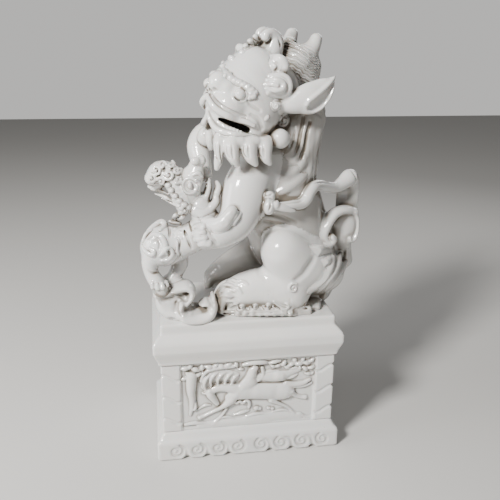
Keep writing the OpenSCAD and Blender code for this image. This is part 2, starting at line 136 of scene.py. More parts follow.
class Clay:
    """Clay as distances on a grid, in mm and negative inside.

    Grids of the same voxel size share one lattice, so neighbours meet without a gap.
    """

    def __init__(self, low, high, voxel=VOXEL):
        self.voxel = voxel
        self.first = np.floor(np.array(low, float) / voxel).astype(int)
        last = np.ceil(np.array(high, float) / voxel).astype(int)
        self.axes = [np.arange(a, b + 1) * voxel for a, b in zip(self.first, last)]
        self.field = np.full([len(a) for a in self.axes], FAR, np.float32)

    def window(self, low, high):
        """The part of the grid between two corners, or None if they miss it."""
        out = []
        for axis, a, b in zip(self.axes, low, high):
            i, j = np.searchsorted(axis, [a, b])
            if j - i < 1:
                return None
            out.append(slice(i, j))
        return tuple(out)

    def grid(self, part):
        x, y, z = (axis[s].astype(np.float32) for axis, s in zip(self.axes, part))
        return x[:, None, None], y[None, :, None], z[None, None, :]

    def put(self, part, distance, soft, cut):
        old = self.field[part]
        self.field[part] = soft_max(old, -distance, soft) if cut else soft_min(old, distance, soft)

    def ball(self, centre, radii, soft=2.0, cut=False, axes=None):
        """An ellipsoid; axes holds its own directions as columns."""
        centre = np.array(centre, float)
        radii = np.broadcast_to(np.array(radii, float), (3,))
        reach = radii.max() + blend_reach(soft) + 2 * self.voxel
        part = self.window(centre - reach, centre + reach)
        if part is None:
            return
        x, y, z = self.grid(part)
        d = [x - centre[0], y - centre[1], z - centre[2]]
        m = np.eye(3) if axes is None else np.array(axes, float)
        k0 = k1 = 0
        for i in range(3):
            local = d[0] * m[0, i] + d[1] * m[1, i] + d[2] * m[2, i]
            k0 = k0 + (local / radii[i]) ** 2
            k1 = k1 + (local / radii[i] ** 2) ** 2
        k0 = np.sqrt(k0)
        k1 = np.sqrt(k1) + 1e-6
        self.put(part, (k0 * (k0 - 1) / k1).astype(np.float32), soft, cut)

    def stroke(self, stations, soft=2.0, cut=False, deep=(0, 1, 0), steps=4):
        """A tapering roll of clay through stations [x, y, z, radius, radius along deep]."""
        s = smooth_path(stations, steps)
        radius = s[:, 3]
        ratio = s[:, 4] / radius if s.shape[1] > 4 else np.ones(len(s))
        deep = np.array(deep, float) / np.linalg.norm(deep)
        margin = blend_reach(soft) + 2 * self.voxel
        reach = (radius * np.maximum(ratio, 1)).max() + margin
        part = self.window(s[:, :3].min(0) - reach, s[:, :3].max(0) + reach)
        if part is None:
            return
        start = [p.start for p in part]
        roll = np.full(self.field[part].shape, FAR * 2, np.float32)
        for i in range(len(s) - 1):
            a, b = s[i, :3], s[i + 1, :3]
            near = max(radius[i] * max(ratio[i], 1), radius[i + 1] * max(ratio[i + 1], 1))
            near += margin
            piece = self.window(np.minimum(a, b) - near, np.maximum(a, b) + near)
            if piece is None:
                continue
            x, y, z = self.grid(piece)
            ab = b - a
            length2 = max(float(ab @ ab), 1e-6)
            t = np.clip(((x - a[0]) * ab[0] + (y - a[1]) * ab[1] + (z - a[2]) * ab[2]) / length2, 0, 1)
            dx, dy, dz = x - a[0] - t * ab[0], y - a[1] - t * ab[1], z - a[2] - t * ab[2]
            d2 = dx * dx + dy * dy + dz * dz
            q = ratio[i] + (ratio[i + 1] - ratio[i]) * t
            scale = 1.0
            if abs(ratio[i] - 1) + abs(ratio[i + 1] - 1) > ROUND_ENOUGH:
                across = dx * deep[0] + dy * deep[1] + dz * deep[2]
                d2 = d2 + across * across * (1 / (q * q) - 1)
                scale = np.sqrt(np.minimum(q, 1 / q))
            d = (np.sqrt(np.maximum(d2, 0)) - radius[i] - (radius[i + 1] - radius[i]) * t) * scale
            local = tuple(slice(p.start - o, p.stop - o) for p, o in zip(piece, start))
            roll[local] = np.minimum(roll[local], d)
        self.put(part, roll, soft, cut)

    def holds(self, points):
        """Which points lie on the grid."""
        p = np.asarray(points, float) / self.voxel - self.first
        return ((p > 0) & (p < np.array(self.field.shape) - 1)).all(1)

    def values(self, points):
        """The field at any points, by straight interpolation; FAR outside the grid."""
        p = np.asarray(points, float) / self.voxel - self.first
        top = np.array(self.field.shape) - 2
        i = np.clip(np.floor(p).astype(int), 0, top)
        outside = ((p < 0) | (p > top + 1)).any(1)
        t = np.clip(p - i, 0, 1)
        out = np.zeros(len(p))
        for dx in (0, 1):
            for dy in (0, 1):
                for dz in (0, 1):
                    w = (t[:, 0] if dx else 1 - t[:, 0]) * (t[:, 1] if dy else 1 - t[:, 1])
                    w = w * (t[:, 2] if dz else 1 - t[:, 2])
                    out += w * self.field[i[:, 0] + dx, i[:, 1] + dy, i[:, 2] + dz]
        out[outside] = FAR
        return out

    def land(self, points, toward):
        """Moves points along their directions to where they meet the clay, or pass nearest to it."""
        p = np.array(points, float)
        toward = np.broadcast_to(np.array(toward, float), p.shape)
        toward = toward / np.linalg.norm(toward, axis=1)[:, None]
        r = np.full(len(p), MARCH_FROM)
        best = np.zeros(len(p))
        least = np.full(len(p), np.inf)
        hit = np.zeros(len(p), bool)
        for _ in range(MARCH_STEPS):
            value = self.values(p + toward * r[:, None])
            better = (value < least) & ~hit
            least[better] = value[better]
            best[better] = r[better]
            hit |= value < MARCH_HIT
            r += np.where(hit, 0, np.clip(value * MARCH_STRIDE, MARCH_LEAST, MARCH_MOST))
            if hit.all():
                break
        return p + toward * best[:, None]

    def drawn(self, stations, lift=0.0):
        """Stations [x, z, radius...] on the glass, carried back along the line of sight."""
        s = np.array(stations, float)
        on_glass = np.column_stack([s[:, 0], np.full(len(s), GLASS_Y), s[:, 1]])
        sight = on_glass - EYE
        p = self.land(on_glass, sight)
        p = p - sight / np.linalg.norm(sight, axis=1)[:, None] * lift
        return np.column_stack([p, s[:, 2:]])

    def trace(self, stations, soft, lift=0.0, cut=False, ground=None, steps=4):
        """A stroke drawn on the glass and carried back on to this clay, or on to ground."""
        self.stroke((ground or self).drawn(stations, lift), soft, cut, steps=steps)

    def block(self, low, high, edge=1.0, soft=0.0, cut=False):
        """A block with rounded edges."""
        low, high = np.array(low, float), np.array(high, float)
        reach = soft + 2 * self.voxel
        part = self.window(low - reach, high + reach)
        q = [np.abs(g - (a + b) / 2) - (b - a) / 2 + edge for g, a, b in zip(self.grid(part), low, high)]
        outer = np.sqrt(sum(np.maximum(v, 0) ** 2 for v in q))
        inner = np.minimum(np.maximum(np.maximum(q[0], q[1]), q[2]), 0)
        self.put(part, (outer + inner - edge).astype(np.float32), soft, cut)

    def moulding(self, half, steps, edge=1.5):
        """A block whose sides follow a moulding: steps are [inset, height]."""
        part = tuple(slice(None) for _ in range(3))
        x, y, z = self.grid(part)
        inset = np.interp(z, [s[1] for s in steps], [s[0] for s in steps])
        side = soft_max(np.abs(x) - half[0] + inset, np.abs(y) - half[1] + inset, edge)
        ends = np.maximum(steps[0][1] - z, z - steps[-1][1])
        self.put(part, soft_max(side, ends, edge).astype(np.float32), 0, False)

    def like(self, other):
        """Another Clay's field read on this grid."""
        out = other.field
        outside = np.zeros(self.field.shape, bool)
        for n in range(3):
            g = self.axes[n] / other.voxel - other.first[n]
            i = np.clip(np.floor(g).astype(int), 0, other.field.shape[n] - 2)
            shape = [1, 1, 1]
            shape[n] = len(g)
            t = np.clip(g - i, 0, 1).astype(np.float32).reshape(shape)
            out = np.take(out, i, n) * (1 - t) + np.take(out, i + 1, n) * t
            outside |= ((g < -0.01) | (g > other.field.shape[n] - 0.99)).reshape(shape)
        out[outside] = FAR * 2
        return out

    def beside(self, *others):
        """A grid like this one that holds this clay and the others, to land strokes on."""
        out = copy.copy(self)
        for other in others:
            out.field = np.minimum(out.field, self.like(other))
        return out

    def settled(self, others, soft=3.0, bite=0.5, lip=0.04):
        """The field luted on to others: a fillet of soft where it stands lip proud of them, and nothing
        left inside them but bite."""
        below = self.like(others[0])
        for other in others[1:]:
            below = np.minimum(below, self.like(other))
        joined = soft_min(self.field, below, soft)
        return np.maximum(np.maximum(joined, (joined - below + lip) * 2), -(below + bite))

    def level(self, height=0.0):
        """Cuts the clay off level."""
        self.field = np.maximum(self.field, (height - self.axes[2].astype(np.float32))[None, None, :])

    def comb(self, depth, pattern):
        """Presses a pattern of x, y, z into the skin, depth mm deep."""
        x, y, z = self.grid(tuple(slice(None) for _ in range(3)))
        self.field = (self.field + depth * pattern(x, y, z)).astype(np.float32)


CORNERS = [(0, 0, 0), (1, 0, 0), (0, 1, 0), (1, 1, 0), (0, 0, 1), (1, 0, 1), (0, 1, 1), (1, 1, 1)]
EDGES = [(0, 1), (2, 3), (4, 5), (6, 7), (0, 2), (1, 3), (4, 6), (5, 7), (0, 4), (1, 5), (2, 6), (3, 7)]


def surface(clay):
    """Points and four-sided faces of the skin of the clay."""
    f = np.pad(clay.field, 1, constant_values=FAR)
    inside = f < 0
    shape = np.array(f.shape) - 1
    count = np.zeros(shape, np.int8)
    for c in CORNERS:
        count += inside[c[0]:c[0] + shape[0], c[1]:c[1] + shape[1], c[2]:c[2] + shape[2]]
    active = (count > 0) & (count < 8)
    cells = np.argwhere(active)
    number = np.full(shape, -1, np.int64)
    number[active] = np.arange(len(cells))
    value = np.stack([f[cells[:, 0] + c[0], cells[:, 1] + c[1], cells[:, 2] + c[2]] for c in CORNERS], 1)
    total = np.zeros((len(cells), 3))
    hits = np.zeros(len(cells))
    for a, b in EDGES:
        va, vb = value[:, a], value[:, b]
        cross = (va < 0) != (vb < 0)
        t = np.where(cross, va / np.where(cross, va - vb, 1), 0)
        ca, cb = np.array(CORNERS[a], float), np.array(CORNERS[b], float)
        total += np.where(cross[:, None], ca + t[:, None] * (cb - ca), 0)
        hits += cross
    points = (cells + total / hits[:, None] + clay.first - 1) * clay.voxel
    faces = []
    for axis in range(3):
        u, v = (axis + 1) % 3, (axis + 2) % 3
        a = [slice(1, -1)] * 3
        b = [slice(1, -1)] * 3
        a[axis], b[axis] = slice(0, -1), slice(1, None)
        change = inside[tuple(a)] != inside[tuple(b)]
        at = np.argwhere(change)
        origin = np.ones(3, int)
        origin[axis] = 0
        at = at + origin
        du, dv = np.zeros(3, int), np.zeros(3, int)
        du[u], dv[v] = 1, 1
        quad = [at - du - dv, at - dv, at, at - du]
        ids = np.stack([number[q[:, 0], q[:, 1], q[:, 2]] for q in quad], 1)
        flip = ~inside[at[:, 0], at[:, 1], at[:, 2]]
        ids[flip] = ids[flip][:, ::-1]
        faces.append(ids)
    return points, np.vstack(faces)


SHARP_ANGLE = math.radians(50)     # edges that turn more than this are shaded sharp


def mesh_object(name, points, faces):
    me = bpy.data.meshes.new(name)
    me.vertices.add(len(points))
    me.vertices.foreach_set("co", (points * MM).astype(np.float32).ravel())
    me.loops.add(faces.size)
    me.loops.foreach_set("vertex_index", faces.astype(np.int32).ravel())
    me.polygons.add(len(faces))
    me.polygons.foreach_set("loop_start", np.arange(0, faces.size, 4, dtype=np.int32))
    me.update(calc_edges=True)
    me.shade_smooth()
    me.set_sharp_from_angle(angle=SHARP_ANGLE)
    ob = bpy.data.objects.new(name, me)
    bpy.context.collection.objects.link(ob)
    return ob


# Pieces whose plain joints get no glaze pool or painted shade from their neighbours.
BROAD = {"plinth_foot", "plinth_cornice"}
# Pieces painted darker all over for the shade they stand in, and how much of a hollow all their skin counts
# as.
PIECE_PAINTED_SHADE = {"lion_torso": 0.43, "lion_mane": 0.4, "lion_right_hind_leg": 0.43, "lion_tail": 0.16,
             "lion_hair_cap": 0.1, "plinth_front_panel": 0.1}
# How a hollow is felt for, for the glaze pool and the painted shade: (how far out a point is probed in mm,
# its weight), and the most one probe counts.
PROBES = ((1.2, 0.45), (2.6, 0.4), (5.5, 0.35), (11, 0.4))
PROBE_LIMIT = 1.4
LEAST_SLOPE = 0.3                  # the field is never read as flatter than this
MOUTH_NEAR = 1.0                   # skin this near to the slit of the mouth gets its painted shadow, in mm
MOUTH_EDGE, MOUTH_FADE = 0.6, 1.5  # the painted shadow in the mouth starts at this depth, in mm, and darkens over this distance
SKIN = 0.02                        # the skin stays this far inside the CAD's box, in mm


def pool_and_shade_depth(node, points):
    """How far into a hollow each point of the skin lies, from 0 in the open to about 1: glaze pooling there,
    and painted shade for the light that hollows and nearby pieces keep off.
    """
    clay = clays[node]
    slope = np.stack([clay.values(points + d) - clay.values(points - d)
                      for d in np.eye(3) * clay.voxel], 1)
    steep = np.linalg.norm(slope, axis=1)
    normal = slope / np.maximum(steep, 1e-6)[:, None]
    steep = np.clip(steep / (2 * clay.voxel), LEAST_SLOPE, 1.0)
    out = np.zeros(len(points))
    for reach, weight in PROBES:
        probe = points + normal * reach
        open_air = raw[node].values(probe) / steep
        for name, other in raw.items():
            if name == node or other.raised != clay.raised or not BROAD.isdisjoint((node, name)):
                continue
            near = other.holds(probe)
            if near.any():
                open_air[near] = np.minimum(open_air[near], other.values(probe[near]))
        out += weight * np.clip(1 - open_air / reach, 0, PROBE_LIMIT)
    # Whole pieces that stand in shade are painted darker.
    out = np.clip(out + PIECE_PAINTED_SHADE.get(node, 0), 0, 1)
    # A painted shadow inside the slit of the mouth.
    if node == "lion_head":
        inside = (mouth.values(points) < MOUTH_NEAR) & (uncut.values(points) < 0)
        out[inside] += np.clip((-uncut.values(points[inside]) - MOUTH_EDGE) / MOUTH_FADE, 0, 1)
    return out


def fire(clays, slot_of):
    """Turns every clay into a porcelain piece that replaces its CAD node."""
    low, high = (np.array(c) / MM for c in cad_box)
    for node, clay in clays.items():
        points, faces = surface(clay)
        pool_and_shade = pool_and_shade_depth(node, points)
        points = points + np.array([0, 0, DECK if clay.raised else 0])
        points = np.clip(points, low + SKIN, high - SKIN)
        points[:, 2] = np.maximum(points[:, 2], low[2])
        ob = mesh_object(node + "_porcelain", points, faces)
        # Vertex attribute that darkens the glaze: pooled glaze and painted shade together.
        pool_and_shade_attribute = ob.data.attributes.new("pool_and_shade", "FLOAT", "POINT")
        pool_and_shade_attribute.data.foreach_set("value", pool_and_shade.astype(np.float32))
        ob.data.materials.append(glaze)
        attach(ob, "root")
        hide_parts(node)
        slot_of(node)


# ---------------------------------------------------------------- lioness

clays = {}       # name of the CAD node: its clay


def new_clay(node, voxel=VOXEL, margin=7.0):
    """An empty grid as large as a CAD node, in mm above the deck."""
    low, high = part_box(node)
    low = np.array(low) / MM - np.array([0, 0, DECK]) - margin
    high = np.array(high) / MM - np.array([0, 0, DECK]) + margin
    clay = Clay(low, high, voxel)
    clay.raised = True
    clays[node] = clay
    return clay


def mirrored(stations, narrow=1.0):
    """The same stations on the other side of the head, drawn in towards its middle by narrow."""
    s = np.array(stations, float)
    local = (s[:, :3] - HEAD_AT) @ HEAD_AXES
    local[:, 1] *= -narrow
    s[:, :3] = local @ HEAD_AXES.T + HEAD_AT
    return s


def spiral(centre, size, turns, start, width, thin=0.6, eye=0.15, count=14):
    """A spiral on the glass from its rim in to its eye, where it is thin times as wide.

    The eye is a part of size, start is in degrees, and negative turns run clockwise.
    """
    out = []
    for i in range(count):
        t = i / (count - 1)
        angle = math.radians(start + 360 * turns * t)
        r = size * (1 - (1 - eye) * t)
        out.append([centre[0] + r * math.cos(angle), centre[1] + r * math.sin(angle),
                    width * (1 - t * (1 - thin))])
    return out


def oval(centre, width, height, radius, turns):
    """An oval of one thickness on the glass."""
    return [[centre[0] + width * math.cos(a), centre[1] + height * math.sin(a), radius] for a in turns]


def on_slice(stations, side):
    """Stations [x, z, radius...] on the glass, carried to the plane side mm left of the head's middle."""
    s = np.array(stations, float)
    glass = np.column_stack([s[:, 0], np.full(len(s), GLASS_Y), s[:, 1]])
    sight = glass - EYE
    t = (side - (glass - HEAD_AT) @ HEAD_SIDE) / (sight @ HEAD_SIDE)
    return np.column_stack([glass + sight * t[:, None], s[:, 2:]])


def hung(stations):
    """Stations [x, z, y, radius...]: x and z on the glass, carried along the line of sight to depth y."""
    s = np.array(stations, float)
    glass = np.column_stack([s[:, 0], np.full(len(s), GLASS_Y), s[:, 1]])
    t = (s[:, 2] - EYE[1]) / (GLASS_Y - EYE[1])
    return np.column_stack([EYE + (glass - EYE) * t[:, None], s[:, 3:]])


# Body: rump, belly, chest and neck in one tapering roll.
torso = new_clay("lion_torso", 1.0)
torso.stroke([[72, 6, 8, 20, 28], [66, 6, 26, 30, 35], [57, 5, 46, 37, 39], [47, 4, 68, 40, 40],
              [41, 3, 92, 38, 40], [35, 2, 116, 36, 40], [35, 2, 138, 29, 34], [40, 2, 156, 23, 28],
              [46, 2, 170, 20, 25]], steps=5)
torso.ball([12, -4, 112], [20, 26, 26], 10)
torso.ball([18, -22, 96], [16, 14, 22], 8)
for crease in [[[16, 98, 0.8], [28, 95, 1.2], [44, 88, 0.6]],
               [[14, 91, 0.6], [26, 88, 1], [38, 83, 0.5]]]:
    torso.trace(crease, 3, 0.4, True)
torso.trace([[27, 116, 1.6], [37, 122, 2.6], [47, 129, 2.8], [55, 138, 1.8]], 5, -0.6)
torso.trace([[34, 132, 1.6], [42, 137, 2.4], [50, 147, 1.8]], 5, -0.6)
torso.level()

# Head.
head = new_clay("lion_head", FINE, 9)


def head_roll(clay, stations, soft, cut=False, steps=4):
    clay.stroke(on_head(stations), soft, cut, HEAD_SIDE, steps)


def head_ball(clay, centre, radii, soft, cut=False, both=False):
    for side in ((1, -1) if both else (1,)):
        at = on_head([[centre[0], centre[1] * side, centre[2]]])[0]
        clay.ball(at, radii, soft, cut, HEAD_AXES)


def draw(clay, stations, soft, cut=False, lift=0.0, steps=4, narrow=0.5):
    """Draws on the near side of the head, and the same on its far side, drawn in towards the middle."""
    s = clay.drawn(stations, lift)
    clay.stroke(s, soft, cut, steps=steps)
    clay.stroke(mirrored(s, narrow), soft, cut, steps=steps)


head_roll(head, [[-20, 0, 12, 22, 26], [-8, 0, 12, 30, 34], [8, 0, 3, 33, 35], [22, 0, -8, 22, 28],
                 [33, 0, -11, 14, 20]], 4)
head_ball(head, [11, 0, 19], [21, 25, 24], 5)                       # forehead
head_ball(head, [33, 11, -13], [14, 14.5, 11], 5)                   # muzzle
head_ball(head, [30, -8, -13], [12, 11, 11], 5)
head_ball(head, [39, 2, -15], [9, 11, 8], 4)
head_ball(head, [7, 25, -14], [17, 12, 15], 7, both=True)           # cheeks
head_ball(head, [42.5, 1, 0.5], [10.5, 10, 10.5], 1.5)              # nose
head_ball(head, [38.5, 9, -1], [8.5, 7.5, 8], 2.5)
head_ball(head, [38.5, -7, -1], [8.5, 7, 8], 2.5)
head_ball(head, [29, 4, 3], [13, 9, 9], 4)                          # bridge of the nose
head_ball(head, [20, 19, -34], [14, 12, 11.5], 5)                   # lower jaw
head_ball(head, [19, -12, -34], [12, 10, 10.5], 5)
head_ball(head, [29, 9, -33], [9, 9, 9.5], 5)
head_ball(head, [5, 25, -33], [14, 12, 11], 5, both=True)
head_ball(head, [12, 0, -36], [18, 20, 8], 6)
head_ball(head, [34.5, 2, -26], [6.5, 8, 8], 4)                     # chin
# Mouth, and the leaf-shaped upper lip over a lower one.
slit = head.drawn([[-25, 181.2, 1.2, 8], [-18, 178.4, 2, 10], [-9, 174.9, 2.4, 12], [-3, 172.6, 2.5, 12],
                   [-1, 171.8, 2, 9]])
# The head before the slit is cut, and the slit alone: together they mark where the shadow inside the mouth
# is painted.
uncut = copy.copy(head)
uncut.field = head.field.copy()
mouth = copy.copy(head)
mouth.field = np.full_like(head.field, FAR)
mouth.stroke(slit)
head.stroke(slit, 0.6, cut=True)
head.stroke(mirrored(slit, 0.5), 0.6, cut=True)
head_ball(head, [50.5, 6, -6.5], [3.4, 2.4, 2], 1.5, cut=True, both=True)
draw(head, [[-36, 205, 1.2], [-34.4, 199.6, 2.5], [-31, 193.4, 3.1], [-25.5, 188.4, 3.2], [-18, 184.2, 3.1],
            [-10, 180.9, 2.9], [-2, 178.6, 2.5], [4, 175.6, 1.7]], 1.2, lift=1.1)
draw(head, [[-35, 189.6, 1.6], [-33.2, 182.2, 2.3], [-29, 174.6, 2.9], [-22, 170.6, 2.8], [-12, 168.4, 2.4],
            [2, 167.2, 1.4]], 1.6, lift=0.7)
draw(head, [[-33.2, 205, 0.8], [-31, 199.4, 1.5], [-26.6, 194.2, 1.6], [-19.4, 189.6, 1.4], [-11, 186, 1],
            [-3, 183.4, 0.6]], 1.5, cut=True)
# Folds of the cheek behind the mouth and under the eye.
draw(head, [[2, 184, 0.8], [8, 180, 1.4], [11, 173, 1]], 3, cut=True)
draw(head, [[-1, 196, 0.6], [2, 192, 1], [9, 188, 0.8]], 2, cut=True)
# Eyes with their lids.
eye_at = head.drawn([[-8, 201, 5]], -1.2)
for eye in (eye_at, mirrored(eye_at)):
    head.ball(eye[0, :3], 5.6, 2.0, cut=True)
    head.ball(eye[0, :3], 5.1, 0.8)
lid = oval([-8, 200.8], 6.2, 6.0, 0.9, np.linspace(0, 2 * math.pi, 17))
draw(head, lid, 1.0, lift=0.1, steps=1)
# Teeth in the corner of the lips.
for i in range(6):
    draw(head, [[-21.5 + 2.9 * i, 176.4 - 1.1 * i, 0.9], [-21.3 + 2.9 * i, 174.8 - 1.1 * i, 0.6]], 0.5,
         lift=-0.4)

# Knot of combed hair behind the head, with two horn-like tufts.
hair_cap = new_clay("lion_hair_cap", FINE, 12)
head_roll(hair_cap, [[-36, 0, 6, 19, 28], [-38, 0, 22, 21, 31], [-33, 0, 34, 21.5, 30],
                     [-27, 0, 42, 19, 26]], 4)
head_roll(hair_cap, [[-17, 0, 36, 16, 24], [-19, 2, 44, 14, 20]], 4)
hair_cap.stroke(hung([[32, 226, 2, 5.5, 16], [32, 236, 4, 6, 15], [33, 243, 5, 5.5, 12]]), 3)
for y in (14, -14):
    head_roll(hair_cap, [[-21, y, 45, 12, 12], [-34, y, 46, 12, 12]], 6)


def combed(x, y, z):
    """Fine grooves that sweep back round the head, wavering a little."""
    a, b, c = ((x - HEAD_AT[0]) * m[0] + (y - HEAD_AT[1]) * m[1] + (z - HEAD_AT[2]) * m[2]
               for m in HEAD_AXES.T)
    waver = 0.9 * np.sin(a * 0.33 + b * 0.12)
    line = c * (1 - 0.012 * a) + 0.35 * a + waver + 0.5 * np.sin(a * 0.9 + 1.7)
    return 0.5 + 0.3 * np.sin(line * 2.1 + 1.2 * np.sin(line * 0.7)) + 0.2 * np.sin(line * 3.7 + 1)


hair_cap.comb(1.1, combed)
for side in (1, -1):
    head_roll(hair_cap, [[-28, 13 * side, 52, 10, 9], [-30, 15 * side, 62, 7, 7],
                         [-30, 15.5 * side, 68.5, 5.6, 5.6]], 4)

# Curls that frame the face. The near ones are drawn, the far ones follow them.
left_curls = new_clay("lion_left_temple_curls", FINE, 12)
right_curls = new_clay("lion_right_temple_curls", FINE, 12)
curl_ground = left_curls.beside(head)
head_here = curl_ground.field.copy()


def curl(stations, soft=1.0, lift=0.5, cut=False):
    """A curl drawn over the near side, on the head and the curls already there."""
    curl_ground.field = np.minimum(left_curls.field, head_here)
    s = curl_ground.drawn(stations, lift)
    left_curls.stroke(s, soft, cut)
    right_curls.stroke(mirrored(s), soft, cut)


# Forelock: a broad wave that rises to a hooked tip.
for side_clay, place in ((left_curls, lambda q: q), (right_curls, mirrored)):
    wave = on_slice([[13.5, 225, 11], [18, 233.6, 9.6], [20.4, 241, 8.2], [20.6, 246, 6.2],
                     [17.2, 249.6, 4.4], [13.8, 249, 3.8], [12.8, 246.6, 4]], 4)
    side_clay.stroke(place(wave), 1.5)
    for s in [[[19.6, 250.4, 0.5], [24, 246, 0.8], [24.4, 238, 0.8], [21, 229, 0.5]],
              [[15.6, 246, 0.5], [18.4, 242, 0.8], [17.4, 234, 0.8], [14, 228, 0.5]]]:
        side_clay.stroke(place(on_slice(s, 11)), 1.5, True)
# Two round locks under it, then small discs and a smooth ball.
curl([[23, 224, 7.4], [25.5, 223, 7.4]], 2.0, 0.0)
curl([[19.5, 231, 2.6], [25.5, 230, 3.4], [30, 224.5, 3.6], [27, 218, 3], [19, 216, 2]], 1.6, 0.2)
curl([[19.5, 228, 0.8], [24, 224.8, 1.5], [22, 220, 1.2], [16, 218.6, 0.6]], 1.5, 0.4, True)
curl([[23, 208.5, 8.4], [26.5, 208.5, 8.6]], 2.5, -1.0)
curl([[17, 216, 1.4], [25, 216.8, 2.4], [31.6, 214, 2.9], [34, 208, 2.9], [31.6, 202.5, 2.7],
      [25, 200, 2.4], [16, 202.4, 1.6]], 1.6, 0.1)
curl([[15, 212.6, 1.4], [23, 213, 2.1], [28.6, 210.6, 2.3], [28.2, 206, 2.3], [22, 204.4, 2],
      [15, 206, 1.4]], 1.4, 0.1)
curl([[14, 209.4, 1.3], [20, 209.4, 2], [23.6, 208.4, 1.8]], 1.2, 0.2)
curl([[22.2, 192, 4.2], [23.2, 192, 4.2]], 1.0, 0.4)
curl(spiral([22.8, 192], 3.0, 1.1, 150, 0.9), 0.5, 0.2)
curl([[29.5, 179, 5.4], [30.9, 179, 5.4]], 1.0, 2.6)
curl(spiral([30.3, 179], 4.4, 1.3, 130, 1.1), 0.6, 0.4)
curl([[14.5, 181, 1.2], [16, 182.5, 1.4]], 0.8, 0.2)
curl([[26.9, 164.5, 8.4], [27.5, 164.2, 8.4]], 0.5, 2.6)

# Small curls on the far side, seen between the forehead and the forelock.
stem = on_slice([[-7, 231, 3.4], [-2.5, 237, 3], [1.5, 241.4, 3], [7.5, 245.4, 3.2]], -5)
right_curls.stroke(stem, 1.5)
for x, z in [(-6.4, 234.6), (-3.4, 239.2), (0.2, 243.0), (4.6, 246.4)]:
    lump = on_slice([[x, z, 2.7], [x + 1.4, z - 1.6, 2.3]], -3)
    right_curls.stroke(lump, 0.8, steps=2)
    pit = on_slice([[x + 0.4, z - 0.4, 0.9], [x + 1.6, z - 1.4, 0.7]], -0.2)
    right_curls.stroke(pit, 0.6, True, steps=1)
right_curls.trace([[-15.6, 230.2, 2.6], [-14.8, 230, 2.4]], 0.9, 0.6, ground=head, steps=1)

# Row of small curls over the eyes.
brow = new_clay("lion_brow_curls", FINE)
ridge = head.drawn([[-22, 222, 1.6], [-19, 217, 3], [-12, 211.8, 3], [-4.6, 208.4, 3], [2, 203.8, 3.4],
                    [3.4, 200.2, 2.4]], -1.2)
for roll in (ridge, mirrored(ridge[2:])):
    brow.stroke(roll, 1.5)
for x, z, r in [[-22.4, 223.6, 1.9], [-20.6, 220, 2], [-19.6, 216.4, 1.8], [-16.6, 217.4, 2],
                [-15, 213.8, 2.1], [-11.8, 212, 2.2], [-8.2, 210.8, 2.2], [-4.8, 208.8, 2.2],
                [-1.4, 206.8, 2.3], [2, 204.6, 2.2], [5, 202.6, 2], [3.6, 199.4, 2.1], [0.4, 198.2, 1.7],
                [1.2, 201.6, 1.8]]:
    s = head.drawn([[x - 0.5, z, r], [x + 0.5, z + 0.3, r * 0.95]], 0.6)
    for lump in (s, mirrored(s)) if x > -16 else (s,):
        brow.stroke(lump, 0.9, steps=1)

# Ears: a leaf on a short stem with a dished face.
LEAF_DEEP = (0.12, 1, 0.1)
leaf = [[27, -34, 193, 6, 7], [36.6, -38, 194, 9, 8.5], [45, -41, 196.6, 11.4, 7.6],
        [51, -43, 198, 13.2, 6.4], [56, -43, 200.5, 12.4, 5.6], [62, -43, 205, 9.6, 4.6],
        [66.5, -42.5, 209.3, 5.6, 3.2], [70, -42, 213.3, 2.4, 2], [72, -42, 215.6, 0.9, 0.9]]
dish = [[51.5, -50.5, 189.6, 4.6, 5.6], [55, -51, 191.2, 7, 7], [60.5, -50.5, 196.6, 7.2, 7],
        [65.5, -49.6, 203, 5.4, 5.4], [69, -47.6, 208.6, 3.2, 4], [71.3, -45.4, 212.8, 1.1, 2]]
rim = [[47.5, -48.4, 193.5, 1.4], [49.5, -49, 197, 1.8], [57, -49, 202.6, 1.7], [65.6, -47, 209.4, 1.4],
       [71, -44, 214.6, 0.8]]
for node, side in (("lion_left_ear", 1), ("lion_right_ear", -1)):
    ear = new_clay(node, FINE, 14)
    deep = np.array(LEAF_DEEP)
    near, hollow, lip = np.array(leaf, float), np.array(dish, float), np.array(rim, float)
    ribs = [[[51 + i * 3.6, -46.2, 196 + i * 3.2, 0.5], [54 + i * 3.2, -45.6, 191 + i * 3.2, 0.6],
             [57 + i * 2.8, -46.2, 187.5 + i * 3.4, 0.4]] for i in range(5)]
    if side < 0:
        near, hollow, lip = mirrored(near), mirrored(hollow), mirrored(lip)
        deep = HEAD_AXES @ (HEAD_AXES.T @ deep * np.array([1, -1, 1]))
        ribs = []
    ear.stroke(near, 3, deep=deep, steps=5)
    ear.stroke(hollow, 0.8, True, deep=deep, steps=5)
    ear.stroke(lip, 2)
    for rib in ribs:
        ear.stroke(rib, 0.6, True)

# Mane: wavy locks that run down the neck from under the hair.
mane = new_clay("lion_mane", VOXEL, 9)
mane.stroke([[58, 3, 186, 18.5, 25], [55, 3, 174, 19, 28], [49, 3, 158, 20.5, 31], [46, 3, 142, 20.5, 32],
             [46, 3, 130, 20.5, 31]], steps=5)
